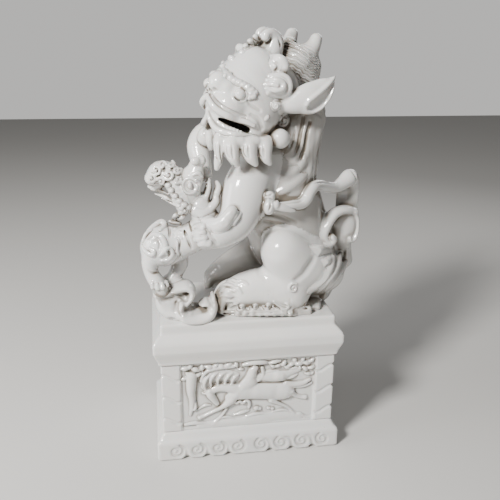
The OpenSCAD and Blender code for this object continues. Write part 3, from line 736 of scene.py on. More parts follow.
# Locks round the back and the far side of the neck, each ending in a point.
for i, turn in enumerate(np.radians(range(-50, 161, 21))):
    out, side, sway = math.cos(turn), math.sin(turn), 1.6 if i % 2 else -1.6
    mane.stroke([[57 + 17 * out, 3 + 22 * side, 184, 3.6],
                 [54 + 18 * out, 3 + 26 * side + sway, 170, 4.6],
                 [49 + 20 * out, 3 + 29 * side, 152, 4.8],
                 [46 + 21.5 * out, 3 + 31 * side - sway, 134, 4.4],
                 [45 + 22 * out, 3 + 31.5 * side, 119 + 2 * sway, 2.8],
                 [44 + 21.5 * out, 3 + 31.5 * side + sway, 110 + 2 * sway, 1.2]], 1.6)
neck = mane.beside(torso)
for s in [[[38, 186, 3], [37, 176, 3.6], [35, 166, 3.4], [31, 158, 2]],
          [[44, 184, 3], [42, 172, 3.8], [39, 160, 3.6], [33, 149, 2]],
          [[50, 183, 3], [48, 170, 3.8], [45, 157, 3.8], [38, 144, 3], [33, 138, 1.6]],
          [[56, 182, 3], [53, 169, 3.8], [51, 156, 4], [46, 142, 3.6], [38, 131, 3.2], [31, 122, 2.8],
           [27, 118, 1.6]],
          [[60, 180, 3], [56, 167, 3.6], [53, 154, 3.8], [51, 140, 3.4], [46, 127, 2.6], [41, 119, 1.6]],
          [[60, 170, 2.6], [56.5, 158, 3], [54, 146, 3], [54, 134, 2.4], [51, 123, 1.4]],
          [[61, 189, 2.6], [64, 181, 3.2], [62, 173, 2]]]:
    mane.trace(s, 3.0, -1.8, ground=neck)
for s in [[[41, 182, 0.5], [39.5, 170, 0.9], [36.5, 158, 0.8], [31, 149, 0.4]],
          [[47, 182, 0.5], [45, 169, 0.9], [42, 155, 0.9], [35, 143, 0.4]],
          [[52.6, 178, 0.5], [50, 167, 0.9], [47.4, 153, 0.9], [42, 139, 0.7], [33, 127, 0.4]]]:
    mane.trace(s, 2.6, 0.7, True, ground=neck)


def strands(x, y, z):
    """Fine strands that wave down the neck."""
    turn = np.arctan2(y - 2, x - 38)
    return 0.5 + 0.5 * np.sin(turn * 44 + 1.6 * np.sin(z * 0.11 + turn * 3) + 0.4 * np.sin(z * 0.3))


mane.comb(0.14, strands)

# Beard: swelling lobes with pointed tips that hang under the jaw, the near ones drawn.
beard = new_clay("lion_beard", FINE, 9)
LOBES = [[[15, -43, 163, 5.2], [12.4, -47.5, 158, 6.8], [12, -50, 153.6, 6.2], [13.6, -51, 149.4, 4.6],
          [16, -51, 145.6, 2.6]],
         [[2, -46, 163, 5.8], [-1.5, -50.5, 158.5, 7.2], [-1, -52, 153.6, 6.4], [1.2, -52.5, 149.2, 4.7],
          [3.8, -52.5, 145.2, 2.6]],
         [[-14, -46, 164, 6], [-16.4, -51, 160, 6.8], [-16, -53, 154.2, 5.9], [-14.4, -53.5, 149.4, 4.3],
          [-12, -53, 145.4, 2.5]],
         [[-25, -42, 166, 5.4], [-26, -46, 161, 5.4], [-26.6, -48, 154, 4], [-27.6, -49, 147, 3.6],
          [-28.8, -49, 141.6, 2.2]],
         [[-30, -20, 168, 6], [-31, -20, 162, 4.8], [-31, -20, 154, 2.4]],
         [[-32, 3, 162, 8.6], [-32.6, 4, 159.6, 8.6]]]
for lobe in LOBES:
    beard.stroke(lobe, 2.0, steps=5)
for x, z, r in [(-26, 164, 3.4), (-20.5, 163, 4.2), (-14, 162.4, 4.6), (-7.5, 162, 4.6), (-1, 161.6, 4.6),
                (5.5, 161.6, 4.6), (12, 161.8, 4.6), (17.5, 162.6, 3.6)]:
    beard.trace([[x - 0.5, z, r], [x + 0.5, z, r]], 2.4, 0.5, ground=head, steps=1)
for x, top, tip in [(-27, 158, 147), (-17, 156, 149), (-3, 156, 149), (10, 156, 149)]:
    for side in (-1.9, 2.2):
        beard.trace([[x + side, top + 3, 0.4], [x + 1.2 * side, (top + tip) / 2, 0.9],
                     [x + 0.6 * side + 2.2, tip - 1, 0.4]], 0.9, 0, True)

# Left foreleg: shoulder, a bent arm and the paw that holds the cub.
arm = new_clay("lion_left_foreleg", VOXEL, 9)
arm.stroke([[14, -20, 140, 18, 16], [4, -29, 128, 20.5, 18], [-4, -37, 111, 19.5, 17],
            [-11, -44, 94, 17, 16], [-24, -49, 85, 13.5, 14], [-36, -50, 81.5, 11, 12]], 4, steps=6)
arm.ball([-3, -36, 118], [17, 15, 20], 8)
arm.ball([-39, -50, 81.5], [9, 10, 10], 4)
for x, z, r in [(-45, 88, 3.6), (-46, 82.5, 3.8), (-44.5, 77, 3.6), (-40.5, 72.5, 3.4)]:
    arm.trace([[x + 5, z - 0.5, r], [x, z, r * 0.95], [x - 3, z - 1, r * 0.7]], 0.9, 0.4)
for x, z in [(-41, 85.5), (-41.5, 80), (-39, 75)]:
    arm.trace([[x + 3, z, 0.5], [x, z, 0.9], [x - 4, z - 0.6, 0.7]], 0.8, 0.2, True)
arm.trace([[-30, 94, 0.5], [-33.5, 86, 1.1], [-32.5, 78, 1.1], [-28, 71, 0.5]], 1.5, 0.3, True)

# Right foreleg, raised to the cub's nape on the far side.
far_arm = new_clay("lion_right_foreleg", VOXEL, 9)
far_arm.stroke([[10, 24, 138, 18, 17], [-8, 26, 154, 15.5, 15], [-28, 22, 160, 13.5, 14],
                [-38, 14, 152, 12, 13], [-38, 6, 140, 10, 12], [-36, -4, 128, 8, 12]], 4, steps=6)
for y, z in [(-12, 126), (-6, 121), (1, 119), (8, 121)]:
    far_arm.stroke([[-37, y, z + 8, 3.4], [-40, y - 1, z + 2, 3.4], [-40, y - 2, z - 2, 2.6]], 1)

# Left hind leg: a round knee over a long furred boot of a foot.
leg = new_clay("lion_left_hind_leg", VOXEL, 9)
leg.stroke([[78, -20, 32, 20, 15], [60, -27, 42, 25, 22], [44, -33, 54, 22, 21]], 8)
leg.ball([32.5, -38, 61.5], [20.5, 20, 21], 7)
leg.stroke([[40, -32, 46, 22, 20], [40, -31, 30, 20, 20], [42, -30, 16, 17, 18]], 9)
leg.stroke([[42, -33, 18, 17, 17], [28, -32, 22, 20, 17.5], [12, -30, 22.5, 19.5, 17],
            [-3, -28, 19.5, 17, 17], [-12, -26, 15, 14, 16]], 7)
leg.stroke([[38, -36, 4.5, 5.5, 18], [10, -32, 4.5, 5.5, 19], [-16, -26, 4.5, 5.5, 17.5]], 2)
# Toes with claws, at the front of the foot.
for y, r in [(-38, 4.6), (-30, 5.2), (-21, 5.2), (-13, 4.6)]:
    leg.stroke([[-10, y + 1, 22, r], [-19, y, 20, r], [-24.5, y, 13, r * 0.95], [-25, y, 7, r * 0.8]], 1.0)
    leg.stroke([[-23, y - 1.5, 12, 1.8], [-27, y - 1.5, 8, 1.3], [-27.5, y - 1.5, 4, 0.8]], 0.5)
for s in [[[-26, 30, 1.2], [-20, 31.5, 2], [-14, 30, 1.6]],
          [[-24, 25, 1.2], [-18, 27, 2], [-12, 25, 1.4]],
          [[-20, 36, 1.2], [-14, 36, 1.8], [-9, 33, 1.3]], [[-26, 20, 1], [-20, 21, 1.8], [-14, 19, 1.2]],
          [[-14, 29, 1], [-9, 27, 1.8], [-6, 23, 1.2]], [[-20, 15, 1], [-14, 15.5, 1.8], [-9, 13, 1.2]],
          [[-10, 35, 1], [-4, 34, 1.4], [0, 31, 0.8]]]:
    leg.trace(s, 0.9, 0.2)
for s in [[[-23, 28, 0.4], [-16, 28.5, 0.9], [-11, 27, 0.4]],
          [[-22, 22.6, 0.4], [-15, 23.4, 0.9], [-10, 21, 0.4]],
          [[-17, 18, 0.4], [-12, 18, 0.9], [-8, 16, 0.4]]]:
    leg.trace(s, 0.6, 0.2, True)
# Sole: a double rim with a row of curls over it and a scroll at the heel.
leg.trace([[-26, 8, 0.9], [-20, 4.6, 1.3], [0, 3.4, 1.4], [20, 2.6, 1.4], [37, 2.4, 1.2]], 0.7, 0.5)
leg.trace([[-26, 4, 0.9], [-18, 0.8, 1], [0, 0.2, 1], [20, -0.4, 1], [37, -0.4, 1]], 0.6, 0.2)
for x in (-6, 6.5, 19):
    leg.trace(spiral([x, 8.4], 4.0, 0.9, 200, 1.5, 0.7, count=12), 0.5, 0.7)
    leg.trace([[x, 8.2, 1.4], [x + 0.6, 8.0, 1.2]], 0.5, 0.9, steps=1)
leg.trace([[25, 12, 0.9], [29, 8, 1.5], [34, 4.6, 1.8], [38.5, 4.6, 1.8], [39.5, 8, 1.4], [36.5, 9.5, 1.1]],
          0.6, 0.7)
leg.trace([[24, 7, 0.7], [28, 4, 1], [33, 1.8, 0.8]], 0.6, 0.4)
leg.trace([[-16, 9.5, 0.7], [-12, 12.5, 1.2], [-9.5, 9.5, 1]], 0.6, 0.4)
# Spiral on the ankle and the hollow behind the shank.
leg.trace(spiral([43.5, 25], 5.2, 1.3, 60, 1.3, 0.7), 0.6, 0.5)
leg.trace([[62, 53, 0.8], [57, 45, 2], [52, 38, 1.8], [46, 33, 0.8]], 5, 0.6, True)
leg.trace([[41, 14, 0.5], [40.5, 8, 1], [41.5, 1, 0.9]], 1.0, 0.2, True)
leg.level()

# Right hind leg, on the far side.
far_leg = new_clay("lion_right_hind_leg", VOXEL, 9)
far_leg.stroke([[70, 26, 32, 24, 14], [44, 32, 46, 22, 17], [12, 32, 34, 17, 17], [-12, 34, 20, 14, 15],
                [-25, 34, 12, 10, 13]], 5)
far_leg.stroke([[36, 34, 5.5, 6.5, 15], [0, 34, 5.5, 6.5, 16], [-22, 34, 4.5, 5.5, 13]], 3)
for y in (24, 31, 38, 45):
    far_leg.stroke([[-16, y, 17, 4.2], [-27, y, 13, 4.2], [-31, y, 6.5, 3.4]], 1.0)
    far_leg.stroke([[-30, y, 9, 1.6], [-33.5, y, 5.5, 1.1], [-33.8, y, 3, 0.7]], 0.5)
for x in (-12, 4, 20):
    far_leg.stroke([[x - 4, 50, 9, 1.4], [x, 50.5, 12, 2.0], [x + 4, 50, 9, 2.0],
                    [x + 1, 50.5, 6.5, 1.4]], 0.8)
far_leg.level()

# Tail: a dished curl with a rolled rim on a broad stem, with flames of hair below it.
tail = new_clay("lion_tail", VOXEL, 17)
tail.stroke([[85, 10, 8, 9, 16], [91, 10, 28, 12, 20], [94, 8, 48, 12, 18], [100, 4, 62, 10, 14]], 6)
tail.stroke([[90, 14, 6, 6, 12], [100, 12, 22, 7, 14], [105, 10, 38, 7, 13], [106, 8, 54, 6, 12]], 5)
tail.stroke(hung([[88.5, 67, -5, 7, 6], [88, 75, -9, 11, 5], [88, 84, -11, 12.6, 4.6],
                  [88.5, 92, -11, 11.5, 4]]), 3)
tail.stroke(hung([[87, 74, -3, 5, 6], [89, 64, 0, 6.5, 8], [91, 52, 3, 8, 10]]), 3)
tail.stroke(hung([[97, 98.4, -8, 3.2, 7], [90.5, 99.6, -11, 3.8, 8], [84, 98.8, -14, 4.4, 8],
                  [77.8, 95, -17, 5, 8], [72.4, 86.4, -20, 5.2, 8], [69.6, 77.2, -22, 5.3, 7.5],
                  [71.6, 71, -23, 5, 7], [76, 69, -23, 4.6, 7], [78.6, 71.6, -23.5, 4.2, 6.5],
                  [77.4, 73.8, -24, 3.6, 6.5]]), 1.2, steps=5)
tail.stroke(hung([[98, 97.6, -8, 2.6, 6], [101, 90, -8, 1.9, 5], [101.2, 80, -8, 1.9, 5],
                  [99.2, 72.6, -9, 2.8, 5.4], [95.8, 70, -11, 2.6, 5], [94.4, 72.4, -12, 2, 5]]), 2)
tail.stroke(hung([[72, 61, -26, 4, 6], [62, 59, -33, 4.4, 6], [54, 53, -38, 3, 5]]), 5)
tail_ground = tail.beside(torso, leg)
for s in [[[78.5, 60.6, 1.6], [69.5, 62.6, 3.8], [60.5, 60.6, 4.2], [54, 55.4, 2.8], [50.6, 50, 1]],
          [[60, 44, 1.2], [67, 47, 2.2], [76, 51, 2], [84, 56, 1.2]]]:
    tail.trace(s, 1.8, 1.0, ground=tail_ground)
for s in [[[93, 61, 1.4], [92, 50, 2.8], [88, 40, 3], [81, 29, 2.4], [75, 21, 1.2]],
          [[87, 58, 1.4], [85.5, 48, 2.8], [81, 38, 3], [74, 28, 2.4], [67, 20, 1.2]],
          [[80, 54, 1.4], [78.5, 45, 2.8], [74, 36, 3], [67, 27, 2.4], [60, 21, 1.2]],
          [[72, 40, 1.2], [68, 32, 2.4], [62, 25, 2.2], [55, 21, 1.2]],
          [[76, 20, 1.2], [70, 13, 2.4], [62, 9, 2.2], [54, 7, 1.2]]]:
    tail.trace(s, 1.6, ground=tail_ground)
for s in [[[90.5, 57, 0.7], [88.5, 46, 1.4], [84, 35, 1.2], [77, 26, 0.6]],
          [[84, 54, 0.7], [82, 44, 1.4], [77, 33, 1.2], [69, 24, 0.6]],
          [[77, 49, 0.7], [74, 40, 1.2], [69, 31, 1], [62, 24, 0.5]]]:
    tail.trace(s, 1.4, 0.8, True, ground=tail_ground)
tail.level()

# Low rock under the heel and the haunch.
rock = new_clay("heel_rock", VOXEL, 7)
rock.stroke([[44, -30, 2, 6, 20], [60, -18, 2, 7, 24], [70, -4, 2, 6, 30]], 3)
rock.stroke([[44, 28, 2, 6, 18], [60, 16, 2, 7, 24], [70, 4, 2, 6, 30]], 3)
rock.block([43, -47, -4], [60, -20, 7.5], 2.0, 2)
for s in [[[44, 6, 0.6], [52, 7.4, 1], [62, 6, 0.6]], [[46, 2.4, 0.6], [54, 3.6, 1], [66, 2, 0.6]]]:
    rock.trace(s, 0.8, 0.1, True)
rock.level()

# Sash: a soft ribbon that runs back from the knot and flies over the tail.
ribbon = new_clay("sash_ribbon", FINE, 14)
ribbon.stroke(hung([[24, 105, -47, 3, 4], [32, 105.2, -46, 3.2, 4], [40, 105.4, -44, 4, 4.6],
                    [47.5, 105.9, -40, 4.8, 5], [52.2, 110, -37, 5.3, 5.4], [54.6, 115.5, -34, 5.5, 5.6],
                    [58.8, 121.2, -29, 5.4, 5.4], [64, 122.6, -23, 5.2, 5.2], [71, 121, -16, 5.2, 5.4],
                    [78.4, 120.2, -9, 5.6, 5.6], [84.5, 123.6, -4, 6.6, 6.4], [90.2, 128.4, 0, 8.2, 7.4],
                    [92, 129.6, 2, 7.6, 7]]), 1, steps=6)
ribbon.stroke(hung([[89, 120, 4, 9.5, 2.4], [88.5, 110, 4, 9.5, 2.2], [88, 98, 1, 9, 2.2]]), 2.0)
ribbon.stroke(hung([[95.5, 127, 4, 4.6, 6], [98.4, 116, 6, 3, 7], [98.2, 104, 6, 3, 7],
                    [96.6, 92, 4, 3, 6], [94, 82, 2, 3, 5]]), 2.5, deep=(0.9, 0.44, 0), steps=6)
ribbon.trace([[30, 106.6, 0.4], [40, 107.4, 0.7], [47, 108.2, 0.7], [51, 113, 0.4]], 1.5, 0, True)
ribbon.trace([[59, 124.6, 0.4], [68, 124.6, 0.7], [79, 123, 0.4]], 1.2, 0, True)
ribbon.trace([[93, 135, 0.5], [95.4, 132.5, 1.2], [97.4, 129, 0.8], [97.4, 124, 0.5]], 1.2, 0.1, True)
knot = new_clay("sash_knot", FINE, 7)
knot.ball([17, -49, 115.5], [5.2, 5, 5.2], 1.0)
knot.ball([16.5, -49.5, 106.5], [5.6, 5.6, 7], 1.4)
knot.ball([22.5, -50, 108.5], [3.6, 4, 4.2], 1.2)
knot.stroke([[22, -49, 107, 3.4], [29, -49, 105, 3], [36, -48, 102.5, 2], [40, -47, 101.5, 1.2]], 1.4)
for s in [[[12.5, 116, 0.5], [16.5, 114, 0.9], [21, 115.5, 0.5]],
          [[12, 110, 0.6], [17, 111.5, 1.1], [22, 110, 0.6]],
          [[19.8, 112, 0.5], [20, 107, 0.8], [18.6, 101, 0.5]]]:
    knot.trace(s, 0.8, 0, True)


# ---------------------------------------------------------------- cub

cub = new_clay("cub_body", FINE, 8)
cub.stroke([[-84, -24, 64, 12, 14], [-76, -26, 67, 18, 17], [-60, -29, 71, 15, 15],
            [-45, -34, 80, 13.5, 14], [-38, -36, 93, 12.5, 13], [-43, -34, 106, 10.5, 12]], 3, steps=5)
cub.ball([-78, -27, 67], [17, 17, 17], 5)
# Fur on the haunch: a rolled lock on top, an S that ends in a curl, and folds at the waist.
for s in [[[-89, 79, 1.4], [-83, 82.5, 2.2], [-77, 79.5, 2.6], [-74, 72, 2.4], [-76, 66, 2],
           [-79.5, 62.5, 1.4]],
          [[-78, 58, 1.2], [-72, 59, 2], [-68, 64, 2.2], [-70.5, 69, 2], [-74, 67.5, 1.5],
           [-73, 64, 1.2]],
          [[-91, 82, 1.8], [-85, 88, 3], [-77, 93, 3.4], [-74, 90, 3], [-78, 86, 1.8]],
          [[-94, 72, 1.6], [-91, 67, 2.4], [-86, 64, 2.4], [-84, 67, 1.8], [-88, 70, 1.4]],
          [[-93, 77, 1.8], [-90, 83, 2.2], [-86, 86, 1.6]],
          [[-70, 94, 1.2], [-66, 93, 2.2], [-60, 92, 1.2]],
          [[-60, 60, 1], [-64, 66, 1.6], [-63, 74, 1.2]]]:
    cub.trace(s, 0.7, 0.6)
for s in [[[-86, 76, 0.6], [-81, 78, 1.2], [-79, 74, 1.3], [-80, 69, 0.7]],
          [[-71, 96, 0.6], [-70, 88, 1.2], [-70, 80, 0.8]],
          [[-58, 92, 0.6], [-55.5, 80, 1.3], [-51, 68, 0.7]],
          [[-53, 95, 0.5], [-50, 84, 1.1], [-45, 73, 0.6]],
          [[-66, 82, 0.4], [-62, 76, 0.9], [-62, 68, 0.5]], [[-61, 64, 0.6], [-66, 56, 1.2], [-74, 52, 0.8]],
          [[-45, 97, 0.5], [-42, 88, 1], [-38, 76, 0.6]]]:
    cub.trace(s, 1.4, 0.1, True)
for x, z in [(-65, 87), (-61, 84), (-64, 80), (-60, 78)]:
    cub.trace([[x - 0.4, z, 1.1], [x + 0.4, z, 1.1]], 0.8)

cub_head = new_clay("cub_head", FINE, 8)
cub_head.stroke([[-53, -30, 112, 12, 13], [-51, -30, 124, 13, 13], [-45.5, -30, 134, 9.5, 11],
                 [-44, -30, 140, 7.5, 9]], 3)
cub_head.stroke([[-46, -31, 109, 6.5, 9], [-38, -32, 113, 4.2, 8], [-34.5, -32, 122, 3.2, 6.5],
                 [-34.5, -32, 128, 2.2, 4.5]], 2)
cub_head.stroke([[-38, -30, 141, 1.3, 30], [-37.5, -30, 130, 1.8, 30], [-40.5, -30, 118, 1.4, 30]], 0.6,
                cut=True)
cub_head.ball([-46, -38, 146], [4.5, 4, 3.6], 1.5)
cub_head.ball([-40.5, -35, 145.5], [4, 4.5, 3.8], 1.5)
cub_head.ball([-40.5, -24, 145.5], [4, 4.5, 3.8], 1.5)
# Eyes: the far one mirrors the near one about the middle of the head, at y = -30.
eye_x, eye_y, eye_z = cub_head.drawn([[-51.2, 125, 3.4]], -0.6)[0, :3]
for y in (eye_y, -60 - eye_y):
    cub_head.ball([eye_x, y, eye_z], 3.6, 2.0, cut=True)
    cub_head.ball([eye_x, y, eye_z], [2.4, 2.8, 3.2], 0.4)
eye_ring = oval([-51.2, 125], 6.3, 6.8, 1.3, np.linspace(0.6, 2 * math.pi, 15))
cub_head.trace(eye_ring, 0.8, 0.3, steps=1)
eye_lid = oval([-51.2, 125], 3.4, 3.9, 0.8, np.linspace(0, 2 * math.pi, 13))
cub_head.trace(eye_lid, 0.4, 0.2, steps=1)
for s in [[[-49, 134, 1.2], [-44, 136, 2], [-41, 133, 1.6]],
          [[-46, 130, 0.9], [-43, 127, 1.6], [-44, 121, 1]]]:
    cub_head.trace(s, 0.8, 0.3)
for x, z in [(-36.4, 127), (-36.6, 123.5), (-37, 120)]:
    cub_head.ball([x, -35, z], 1.1, 0.4)

cub_mane = new_clay("cub_mane", FINE, 8)
cub_mane.stroke([[-84, -18, 128, 6, 9], [-76, -20, 134, 9.5, 13], [-66, -24, 130, 10.5, 15],
                 [-60, -28, 118, 9, 15], [-56, -30, 106, 8, 14]], 3)
cub_mane.stroke([[-76, -12, 122, 5, 8], [-82, -10.5, 119, 3.5, 5], [-86, -10, 119, 1.8, 2.4]], 2)
nape = cub_mane.beside(cub_head)
for x, z, r in [(-67, 121.5, 2.6), (-64, 116.5, 2.6), (-60.5, 112, 2.6), (-56.5, 108.5, 2.6),
                (-69.5, 126, 2.6), (-52.5, 106, 2.4), (-59, 105.5, 2.2)]:
    cub_mane.trace([[x - 0.4, z, r], [x + 0.4, z, r]], 0.5, 0.9, ground=nape)
for centre, size, turns, start in [([-69, 135], 4.6, 1.2, 200), ([-62, 138.5], 3.6, -1.2, 20),
                                   ([-79.5, 139.5], 4.2, 1.1, 260), ([-83.5, 132], 4.0, -1.1, 90),
                                   ([-74, 143], 3.6, 1.1, 10), ([-75.5, 129.5], 3.8, -1.1, 150),
                                   ([-67, 143.5], 3.2, -1.0, 60), ([-61.5, 130.5], 3.4, 1.0, 240)]:
    cub_mane.trace(spiral(centre, size, turns, start, 1.5, 0.8, count=10), 0.5, 0.9, ground=nape)
for x, z, r in [(-77, 136, 1.5), (-72.5, 139.5, 1.1), (-66, 139, 1.0), (-80, 128.5, 1.3), (-71, 130, 1.0)]:
    cub_mane.trace([[x, z + 1, r], [x - 0.4, z - 1, r]], 0.6, -0.2, True, ground=nape)
for s in [[[-70, 118, 0.8], [-76, 121, 1.8], [-84, 123, 1]],
          [[-66, 112, 0.8], [-73, 116, 1.6], [-81, 119, 0.8]],
          [[-62, 107, 0.8], [-68, 111, 1.4], [-75, 115, 0.8]]]:
    cub_mane.trace(s, 1.0, ground=nape)
cub_mane.stroke([[-47, -42, 103, 4.6], [-41, -43.5, 101.5, 4.4], [-35.5, -43, 103.5, 3.6]], 1.0)
cub_mane.stroke([[-33, -42, 106, 3.8], [-29, -40, 110, 3.8], [-28.5, -38, 115, 3]], 1.0)
cub_mane.stroke([[-27.5, -38, 117.5, 3.4], [-26, -36, 122, 3.2], [-27.5, -34, 126, 2]], 0.8)
cub_mane.stroke([[-32, -30, 104, 3.6], [-28, -28, 110, 3.4], [-27, -26, 118, 2.4]], 1.0)
# Tuft and loops behind the collar.
for s in [[[-56, 103, 1.2], [-60.5, 101, 2], [-65, 99, 1.6], [-67, 96.5, 1]],
          [[-55, 99.5, 1], [-59, 97, 1.8], [-63.5, 96, 1.2]]]:
    cub_mane.trace(s, 0.8, 1.0, ground=cub_mane.beside(cub))

cub_paw = new_clay("cub_foreleg", FINE, 7)
cub_paw.stroke([[-36, -48, 92, 7, 6.5], [-30, -56, 93, 7, 6.5], [-25, -60, 96.5, 6.6, 6.4],
                [-20.5, -60, 102, 5.6, 5.4], [-17.5, -59, 106, 5.2, 5]], 1.5)
for i in range(4):                                                  # toes
    dx, dz = 2.1 * i, -1.9 * i
    cub_paw.stroke([[-22.5 + dx, -63 + 0.6 * i, 101.5 + dz, 1.7],
                    [-19 + dx, -62.8 + 0.8 * i, 106 + dz, 1.8],
                    [-16.5 + dx, -60.5 + 0.8 * i, 109 + dz, 1.5]], 0.4)

hind = new_clay("cub_left_hind_leg", FINE, 7)
hind.stroke([[-84, -30, 62, 10, 10], [-88.5, -31, 54, 7.5, 8], [-87.5, -32, 44, 6.6, 7.5],
             [-83, -35, 36, 7, 8.5], [-79, -37, 31, 6, 8]], 3)
hind.ball([-90, -32, 53.5], [3.4, 4, 3.8], 1.5)
for x, z, r in [(-86.5, 33, 2.4), (-82.3, 31.8, 2.6), (-78, 32, 2.6), (-74.3, 34, 2.3)]:
    hind.trace([[x - 0.6, z + 3.5, r * 0.8], [x, z, r]], 0.6, 0.4)
hind.trace([[-90, 49, 0.5], [-86, 46.5, 1], [-81, 47, 0.5]], 1.0, 0.1, True)

far_hind = new_clay("cub_right_hind_leg", FINE, 7)
far_hind.stroke([[-64, -14, 58, 10, 9], [-61, -15, 46, 8, 8], [-67, -18, 35, 6, 8],
                 [-74, -20, 30, 5.4, 7.5]], 3)
for y in (-25, -20, -15):
    far_hind.stroke([[-73, y, 31, 2.4], [-78, y, 28.5, 2.4]], 0.8)

# Rolled cloud that carries the cub: a sheet that folds over itself and cups up at the end.
cloud = new_clay("cloud_base", VOXEL, 8)
cloud.stroke([[-82, -30, 20, 4.5, 13], [-77, -30, 11, 8, 15], [-70, -31, 7, 9, 16], [-60, -32, 5, 8, 17],
              [-46, -33, 2, 8, 17], [-36, -32, 3, 6, 15]], 4)
cloud.stroke([[-72, -28, 18, 7, 13], [-62, -27, 19, 8, 13], [-56, -27, 18, 6, 12]], 4)
cloud.stroke([[-84, -30, 24, 3.4, 13], [-74, -29, 25, 4, 14], [-64, -29, 28, 4.4, 14],
              [-56, -30, 29, 4.4, 13], [-51.5, -31, 25.5, 4, 13], [-52.5, -32, 20, 3.6, 13],
              [-57, -34, 15.5, 3.6, 14]], 1.0, steps=6)
cloud.stroke([[-61.5, -38, 16.5, 2.8, 13], [-62.5, -38, 10, 4.4, 15], [-58, -38, 4, 6.5, 17],
              [-47, -38, 1.5, 7.5, 17], [-36.5, -37, 4.5, 6.5, 16], [-31.5, -35, 12, 4, 14],
              [-32, -34, 18.5, 2.2, 12]], 1.0, steps=6)
cloud.stroke([[-44, -38, 13.5, 1.8, 9], [-38.5, -37, 14.5, 2.6, 11], [-34, -36, 11, 3.4, 12]], 1.5)
cloud.ball([-50, -50, 12], [6.5, 12, 4.5], 2.0, cut=True)
cloud.ball([-71.5, -50, 2], [5, 8, 3], 1.5, cut=True)
cloud.trace([[-66, 17, 0.6], [-65.5, 10, 1.2], [-62, 3, 0.6]], 1.5, 0, True)
cloud.trace([[-70, 24, 0.6], [-62, 22.5, 1.2], [-57, 18, 0.6]], 2.0, 0, True)
cloud.level()


# ---------------------------------------------------------------- plinth

def plinth_clay(node, voxel=1.0, margin=4.0):
    low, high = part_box(node)
    clay = Clay(np.array(low) / MM - margin, np.array(high) / MM + margin, voxel)
    clay.raised = False
    clays[node] = clay
    return clay


foot_high = np.array(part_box("plinth_foot")[1]) / MM
FOOT_HALF = foot_high[:2]                                     # half the foot's width and depth
BODY_LOW = foot_high[2]                                       # the panels stand on the foot
BODY_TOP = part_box("plinth_cornice")[0].z / MM
post_low, post_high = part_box("front_right_post")
BODY_HALF = post_high.x / MM, -post_low.y / MM                # half the body's width and depth
POST_W = BODY_HALF[0] - post_low.x / MM
PANEL_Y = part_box("front_relief")[1].y / MM                    # face of the front panel
PANEL_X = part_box("left_relief")[1].x / MM                     # face of the left panel
WALL = 8.0                                                    # thickness of the clay, in mm
INNER = (BODY_HALF[0] - WALL, BODY_HALF[1] - WALL)            # half the hollow's width and depth

# Foot with scrolled apron.
foot = plinth_clay("plinth_foot", 0.9)
foot.moulding(FOOT_HALF, [[0.6, 0], [0, 1.5], [0, 18], [0.8, 20], [2.6, 21.5], [4.2, 24], [5.4, 26.5],
                          [6, 28]], 2.5)
foot.block([-INNER[0], -INNER[1], -10], [INNER[0], INNER[1], BODY_LOW + 10], 1, 0.5, True)


def apron(face, notches, scrolls):
    """Rounded lobes between notches, each with a scroll; face turns x, z to a point on one side."""
    notch = [[0, -5, 6.4], [0, 0, 4], [0, 3, 2], [0, 6, 1.3], [-0.6, 10, 1.1], [-2.4, 13.4, 1],
             [-6, 15.4, 0.6]]
    for n in notches:
        foot.stroke([face(n + dx, z) + [r] for dx, z, r in notch], 1.4, True)
    for at in scrolls:
        turns, start = (-1.4, 60) if at < 0 else (1.4, 120)
        scroll = spiral([at, 9.8], 7.0, turns, start, 1.45, 0.75)
        foot.stroke([face(x, z) + [r] for x, z, r in scroll], 1.2, True, steps=3)


for side in (-1, 1):
    apron(lambda x, z, k=side: [x, k * FOOT_HALF[1], z], (-61, -41, -20.5, 20.5, 42, 63),
          (-71, -51, -30.5, -11.5, 12, 31.5, 52.5, 73.5))
    apron(lambda y, z, k=side: [k * FOOT_HALF[0], y, z], (-36, -14, 14, 36), (-46.5, -25, -5, 5, 25, 46.5))

# Panels with a thin rail at top and bottom.
for node, across, axis, side in (("plinth_front_panel", BODY_HALF[0] - POST_W, 1, -1),
                                 ("plinth_back_panel", BODY_HALF[0] - POST_W, 1, 1),
                                 ("plinth_left_panel", BODY_HALF[1] - POST_W, 0, -1),
                                 ("plinth_right_panel", BODY_HALF[1] - POST_W, 0, 1)):
    panel = plinth_clay(node, 1.0)
    face = abs(PANEL_Y) if axis else abs(PANEL_X)
    outer, inner = side * face, side * (BODY_HALF[axis] - WALL)
    rail = outer + side * 1.4
    for front, z0, z1, edge in ((outer, BODY_LOW, BODY_TOP, 0.4), (rail, BODY_LOW - 1, BODY_LOW + 2.6, 1.2),
                                (rail, BODY_TOP - 3, BODY_TOP, 1.2)):
        low, high = [-across, min(front, inner), z0], [across, max(front, inner), z1]
        if axis == 0:
            low, high = [low[1], low[0], low[2]], [high[1], high[0], high[2]]
        panel.block(low, high, edge, 1.5)

